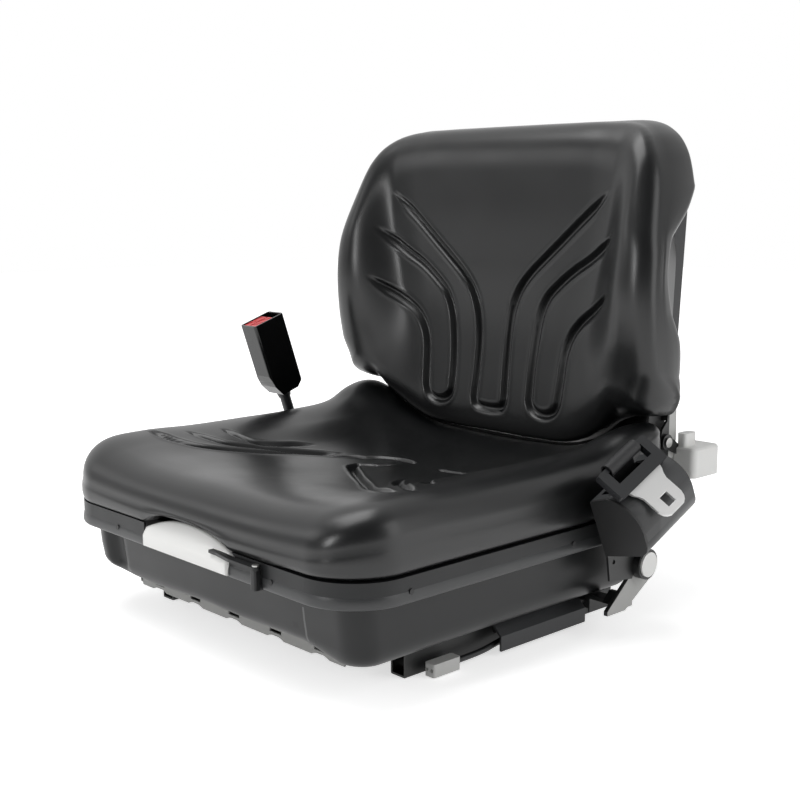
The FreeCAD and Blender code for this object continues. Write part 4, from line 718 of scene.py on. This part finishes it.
def make_rim_lip(side):
    """Rolled lower lip of the pan's folded rim, open at the grip and at the buckle's bolt."""
    rear = 200.0
    line = rounded_rectangle(PAN_FRONT, rear, HALF_WIDTH, CORNER, CORNER, count=720,
                             steps=40)
    keep = [k for k in range(len(line))
            if not (line[k, 1] < -200 and GRIP_GAP[0] < line[k, 0] < GRIP_GAP[1])]
    if side == "right":
        keep = [k for k in keep if line[k, 0] < -60 and line[k, 1] < 100]
    else:
        keep = [k for k in keep if line[k, 0] > 0 or line[k, 1] > rear - 1]
    kept = set(keep)
    start = next(i for i, k in enumerate(keep) if (k - 1) % len(line) not in kept)
    line = line[keep[start:] + keep[:start]]
    turn = np.gradient(line, axis=0)
    normal = unit(np.stack([turn[:, 1], -turn[:, 0]], 1))
    # Outward offset and height round the lip's section
    section = [(-0.6, 111.0), (0.1, 109.4), (0.7, 107.0), (1.1, 104.2), (1.1, 101.6), (0.6, 99.7),
               (-0.2, 98.8), (-2.4, 98.9), (-2.6, 101.0)]
    rings = [np.column_stack([line + normal * a, np.full(len(line), z)]) for a, z in section]
    faces = ring_faces(len(section), len(line), wrap=False)
    m, last = len(line), (len(section) - 1) * len(line)
    faces.append([r * m for r in range(len(section))])
    faces.append([r * m + m - 1 for r in reversed(range(len(section)))])
    for c in range(m - 1):
        faces.append((last + c, last + c + 1, c + 1, c))
    obj = mesh_object("rim_lip_" + side, np.concatenate(rings), faces, LIP)
    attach(obj, "pan")


def box_mesh(name, low, high, finish, body):
    """Plain box between two corners, riding on a body."""
    x, y, z = zip(low, high)
    verts = [(x[i], y[j], z[k]) for i in (0, 1) for j in (0, 1) for k in (0, 1)]
    faces = [(0, 1, 3, 2), (4, 6, 7, 5), (0, 4, 5, 1), (2, 3, 7, 6), (0, 2, 6, 4), (1, 5, 7, 3)]
    obj = mesh_object(name, verts, faces, finish, smooth=False)
    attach(obj, body)


def make_rim_patches():
    """Parts of the folded rim that run up to the handle's grip on both sides."""
    low, inner = 99.5, PAN_FRONT + 2.4
    for name, x0, x1, high in (("rim_patch_right", -97.0, GRIP_GAP[0], 122.8),
                               ("rim_patch_left", GRIP_GAP[1], 87.0, 115.5)):
        box_mesh(name, (x0, PAN_FRONT, low), (x1, inner, high), PAN, "pan")


def make_grip():
    """Arched grip of the front handle: upright lip, sloping face and a flat back."""
    low, lip, front = 100.0, 12.0, PAN_FRONT - 4.0
    lean_run, lean_rise, deep = 17.0, 24.0, 17.6
    rings = []
    for x in np.linspace(-72.0, 70.0, 41):
        top = curve_table(np.array([x]), [-72, -58, -40, -15, 8, 30, 48, 62, 70],
                          [119.5, 124.8, 129.2, 131.2, 130.7, 128.6, 125.6, 122.6, 120.5])[0]
        slope = front + lean_run * (top - low - lip) / lean_rise
        edge = low + lip
        rings.append([(x, front + 1.4, low), (x, front + 0.4, low + 0.5), (x, front, low + 1.6),
                      (x, front, edge - 1.8), (x, front + 0.5, edge + 0.6),
                      (x, slope - 1.6, top - 1.8), (x, slope - 0.5, top - 0.5),
                      (x, slope + 0.9, top), (x, front + deep, top), (x, front + deep, low)])
    m = len(rings[0])
    faces = ring_faces(len(rings), m)
    faces += [tuple(range(m)), tuple(len(rings) * m - 1 - k for k in range(m))]
    obj = mesh_object("handle_grip_arched", np.concatenate(rings), faces, WHITE)
    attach(obj, "weight_handle")
    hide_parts("handle_grip")


def make_shields():
    """Thin plates beside the back plate's arms that close the gap over the hinge."""
    thick = 3.2
    # Points (y, z) of the plates' side view
    outline = [(216, 152), (246, 152), (250, 214), (249, 236), (222, 236), (219, 200)]
    for name, x0 in (("hinge_shield_left", 202.2), ("hinge_shield_right", -205.4)):
        verts = [(x0, y, z) for y, z in outline] + [(x0 + thick, y, z) for y, z in outline]
        n = len(outline)
        faces = [list(range(n)), list(range(2 * n - 1, n - 1, -1))]
        faces += [(k, (k + 1) % n, n + (k + 1) % n, n + k) for k in range(n)]
        obj = mesh_object(name, verts, faces, MATT, smooth=False)
        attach(obj, "backrest")


make_gaiter()
make_rim_lip("left")
make_rim_lip("right")
make_rim_patches()
make_grip()
make_shields()


# Switch lead

def make_lead():
    """Short lead on one smooth curve from its gland to its plug."""
    route = [(193, 28, 12), (193, 10, 12), (194, -8, 10), (195.4, -27, 7.8), (195.6, -47, 7),
             (195.6, -67, 7)]
    data = bpy.data.curves.new("lead", "CURVE")
    data.dimensions = "3D"
    data.bevel_depth = LEAD_R * MM
    data.bevel_resolution = 5
    data.resolution_u = 12
    spline = data.splines.new("NURBS")
    spline.points.add(len(route) - 1)
    for point, place in zip(spline.points, route):
        point.co = (*[c * MM for c in place], 1.0)
    spline.order_u = 3
    spline.use_endpoint_u = True
    data.use_fill_caps = True
    data.materials.append(PLASTIC)
    obj = bpy.data.objects.new("lead", data)
    bpy.context.scene.collection.objects.link(obj)
    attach(obj, "base")
    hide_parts("switch_lead")


make_lead()


# Softened edges of CAD pieces

def soften(name, width):
    """Round the hard edges of a CAD node with a bevel that hardens its normals."""
    obj = nodes[name]
    weld = obj.modifiers.new("weld", "WELD")
    weld.merge_threshold = 0.00002
    bevel = obj.modifiers.new("bevel", "BEVEL")
    bevel.width = width * MM
    bevel.segments = 3
    bevel.limit_method = "ANGLE"
    bevel.angle_limit = math.radians(35)
    bevel.harden_normals = True
    bevel.use_clamp_overlap = True


for name, width in (("retractor_cover", 1.0), ("retractor_end_cap", 1.0),
                    ("buckle_shell", 0.8), ("belt_tongue", 0.5), ("tongue_guide", 0.8),
                    ("slide_paddle", 0.6), ("retractor_bracket", 0.6), ("handle_arm", 0.4),
                    ("lead_plug", 0.8), ("buckle_button", 0.5)):
    soften(name, width)


# Camera, floor and light, in metres and degrees

CAMERA_PLACE = (0.9980, -0.8939, 0.4464)
CAMERA_DOWN, CAMERA_TURN = 9.175, 46.81
CAMERA_LENS = 56.56
FLOOR_Z = -0.6                       # millimetres, just under the rails
AWAY = (-0.72, 0.68, 0.15)           # where the surroundings are brightest
# Name, place, aim, width, height, watts
LAMPS = (("key_top", (-0.3, -0.4, 2.3), (0, 0, 0.2), 1.6, 1.6, 34),
         ("side_right", (1.9, 0.7, 0.9), (0.1, 0.05, 0.25), 1.0, 1.6, 12),
         ("side_left", (-1.9, -1.9, 1.5), (0, 0, 0.3), 1.4, 1.0, 7),
         ("front_strip", (0.0, -2.2, 0.85), (0, 0, 0.25), 0.16, 0.8, 11))


def camera():
    """The photograph's fitted camera."""
    data = bpy.data.cameras.new("camera")
    data.lens = CAMERA_LENS
    data.sensor_width = 36.0
    data.clip_end = 30.0
    obj = bpy.data.objects.new("camera", data)
    obj.location = CAMERA_PLACE
    obj.rotation_euler = (math.radians(90 - CAMERA_DOWN), 0.0, math.radians(CAMERA_TURN))
    bpy.context.scene.collection.objects.link(obj)
    bpy.context.scene.camera = obj


def area(name, location, target, width, height, power):
    """Rectangular lamp turned towards a point."""
    data = bpy.data.lights.new(name, "AREA")
    data.shape = "RECTANGLE"
    data.size = width
    data.size_y = height
    data.energy = power
    obj = bpy.data.objects.new(name, data)
    obj.location = location
    obj.rotation_euler = (Vector(target) - Vector(location)).to_track_quat("-Z", "Y").to_euler()
    bpy.context.scene.collection.objects.link(obj)


def floor():
    """Pale floor, white to the camera but for the object's shadow."""
    m = bpy.data.materials.new("floor")
    m.use_nodes = True
    tree = m.node_tree
    pale = tree.nodes["Principled BSDF"]
    pale.inputs["Base Color"].default_value = linear("F4F4F4")
    pale.inputs["Roughness"].default_value = 0.9
    pale.inputs["Specular IOR Level"].default_value = 0.2
    path = add(tree, "ShaderNodeLightPath")
    place = add(tree, "ShaderNodeTexCoord").outputs["Object"]
    far = add(tree, "ShaderNodeVectorMath", {0: place}, operation="LENGTH").outputs["Value"]
    level = add(tree, "ShaderNodeMapRange", {"Value": far, "From Min": 0.4, "From Max": 1.4,
                                             "To Min": 0.62, "To Max": 1.0})
    rays = add(tree, "ShaderNodeMath", {0: path.outputs["Is Camera Ray"],
                                        1: path.outputs["Is Glossy Ray"]}, operation="MAXIMUM")
    seen = add(tree, "ShaderNodeMath", {0: rays.outputs[0], 1: level.outputs[0]},
               operation="MULTIPLY")
    glow = add(tree, "ShaderNodeEmission", {"Color": (1, 1, 1, 1), "Strength": seen.outputs[0]})
    both = add(tree, "ShaderNodeAddShader", {0: pale.outputs[0], 1: glow.outputs[0]})
    tree.links.new(both.outputs[0], tree.nodes["Material Output"].inputs["Surface"])
    reach = 6000
    corners = [(x, y, FLOOR_Z) for x, y in ((-reach, -reach), (reach, -reach), (reach, reach),
                                            (-reach, reach))]
    obj = mesh_object("floor", corners, [(0, 1, 2, 3)], m, smooth=False, close=False)


def world():
    """Dim even light: white to the camera, and to mirrors a grey that turns white behind."""
    w = bpy.data.worlds.new("world")
    bpy.context.scene.world = w
    w.use_nodes = True
    tree = w.node_tree
    path = add(tree, "ShaderNodeLightPath")
    ray = add(tree, "ShaderNodeTexCoord").outputs["Generated"]
    away = add(tree, "ShaderNodeVectorMath", {0: ray, 1: AWAY},
               operation="DOT_PRODUCT").outputs["Value"]
    behind = add(tree, "ShaderNodeMapRange", {"Value": away, "From Min": -0.3, "From Max": 0.5,
                                              "To Min": 0.16, "To Max": 1.0})
    soft = add(tree, "ShaderNodeBackground", {"Color": (1, 1, 1, 1), "Strength": 0.30})
    shine = add(tree, "ShaderNodeBackground", {"Color": (1, 1, 1, 1),
                                               "Strength": behind.outputs[0]})
    white = add(tree, "ShaderNodeBackground", {"Color": (1, 1, 1, 1), "Strength": 1.0})
    glossy = add(tree, "ShaderNodeMixShader", {0: path.outputs["Is Glossy Ray"],
                                               1: soft.outputs[0], 2: shine.outputs[0]})
    mix = add(tree, "ShaderNodeMixShader", {0: path.outputs["Is Camera Ray"],
                                            1: glossy.outputs[0], 2: white.outputs[0]})
    tree.links.new(mix.outputs[0], tree.nodes["World Output"].inputs["Surface"])


camera()
floor()
world()
for lamp in LAMPS:
    area(*lamp)
scene = bpy.context.scene
scene.view_settings.view_transform = "Standard"
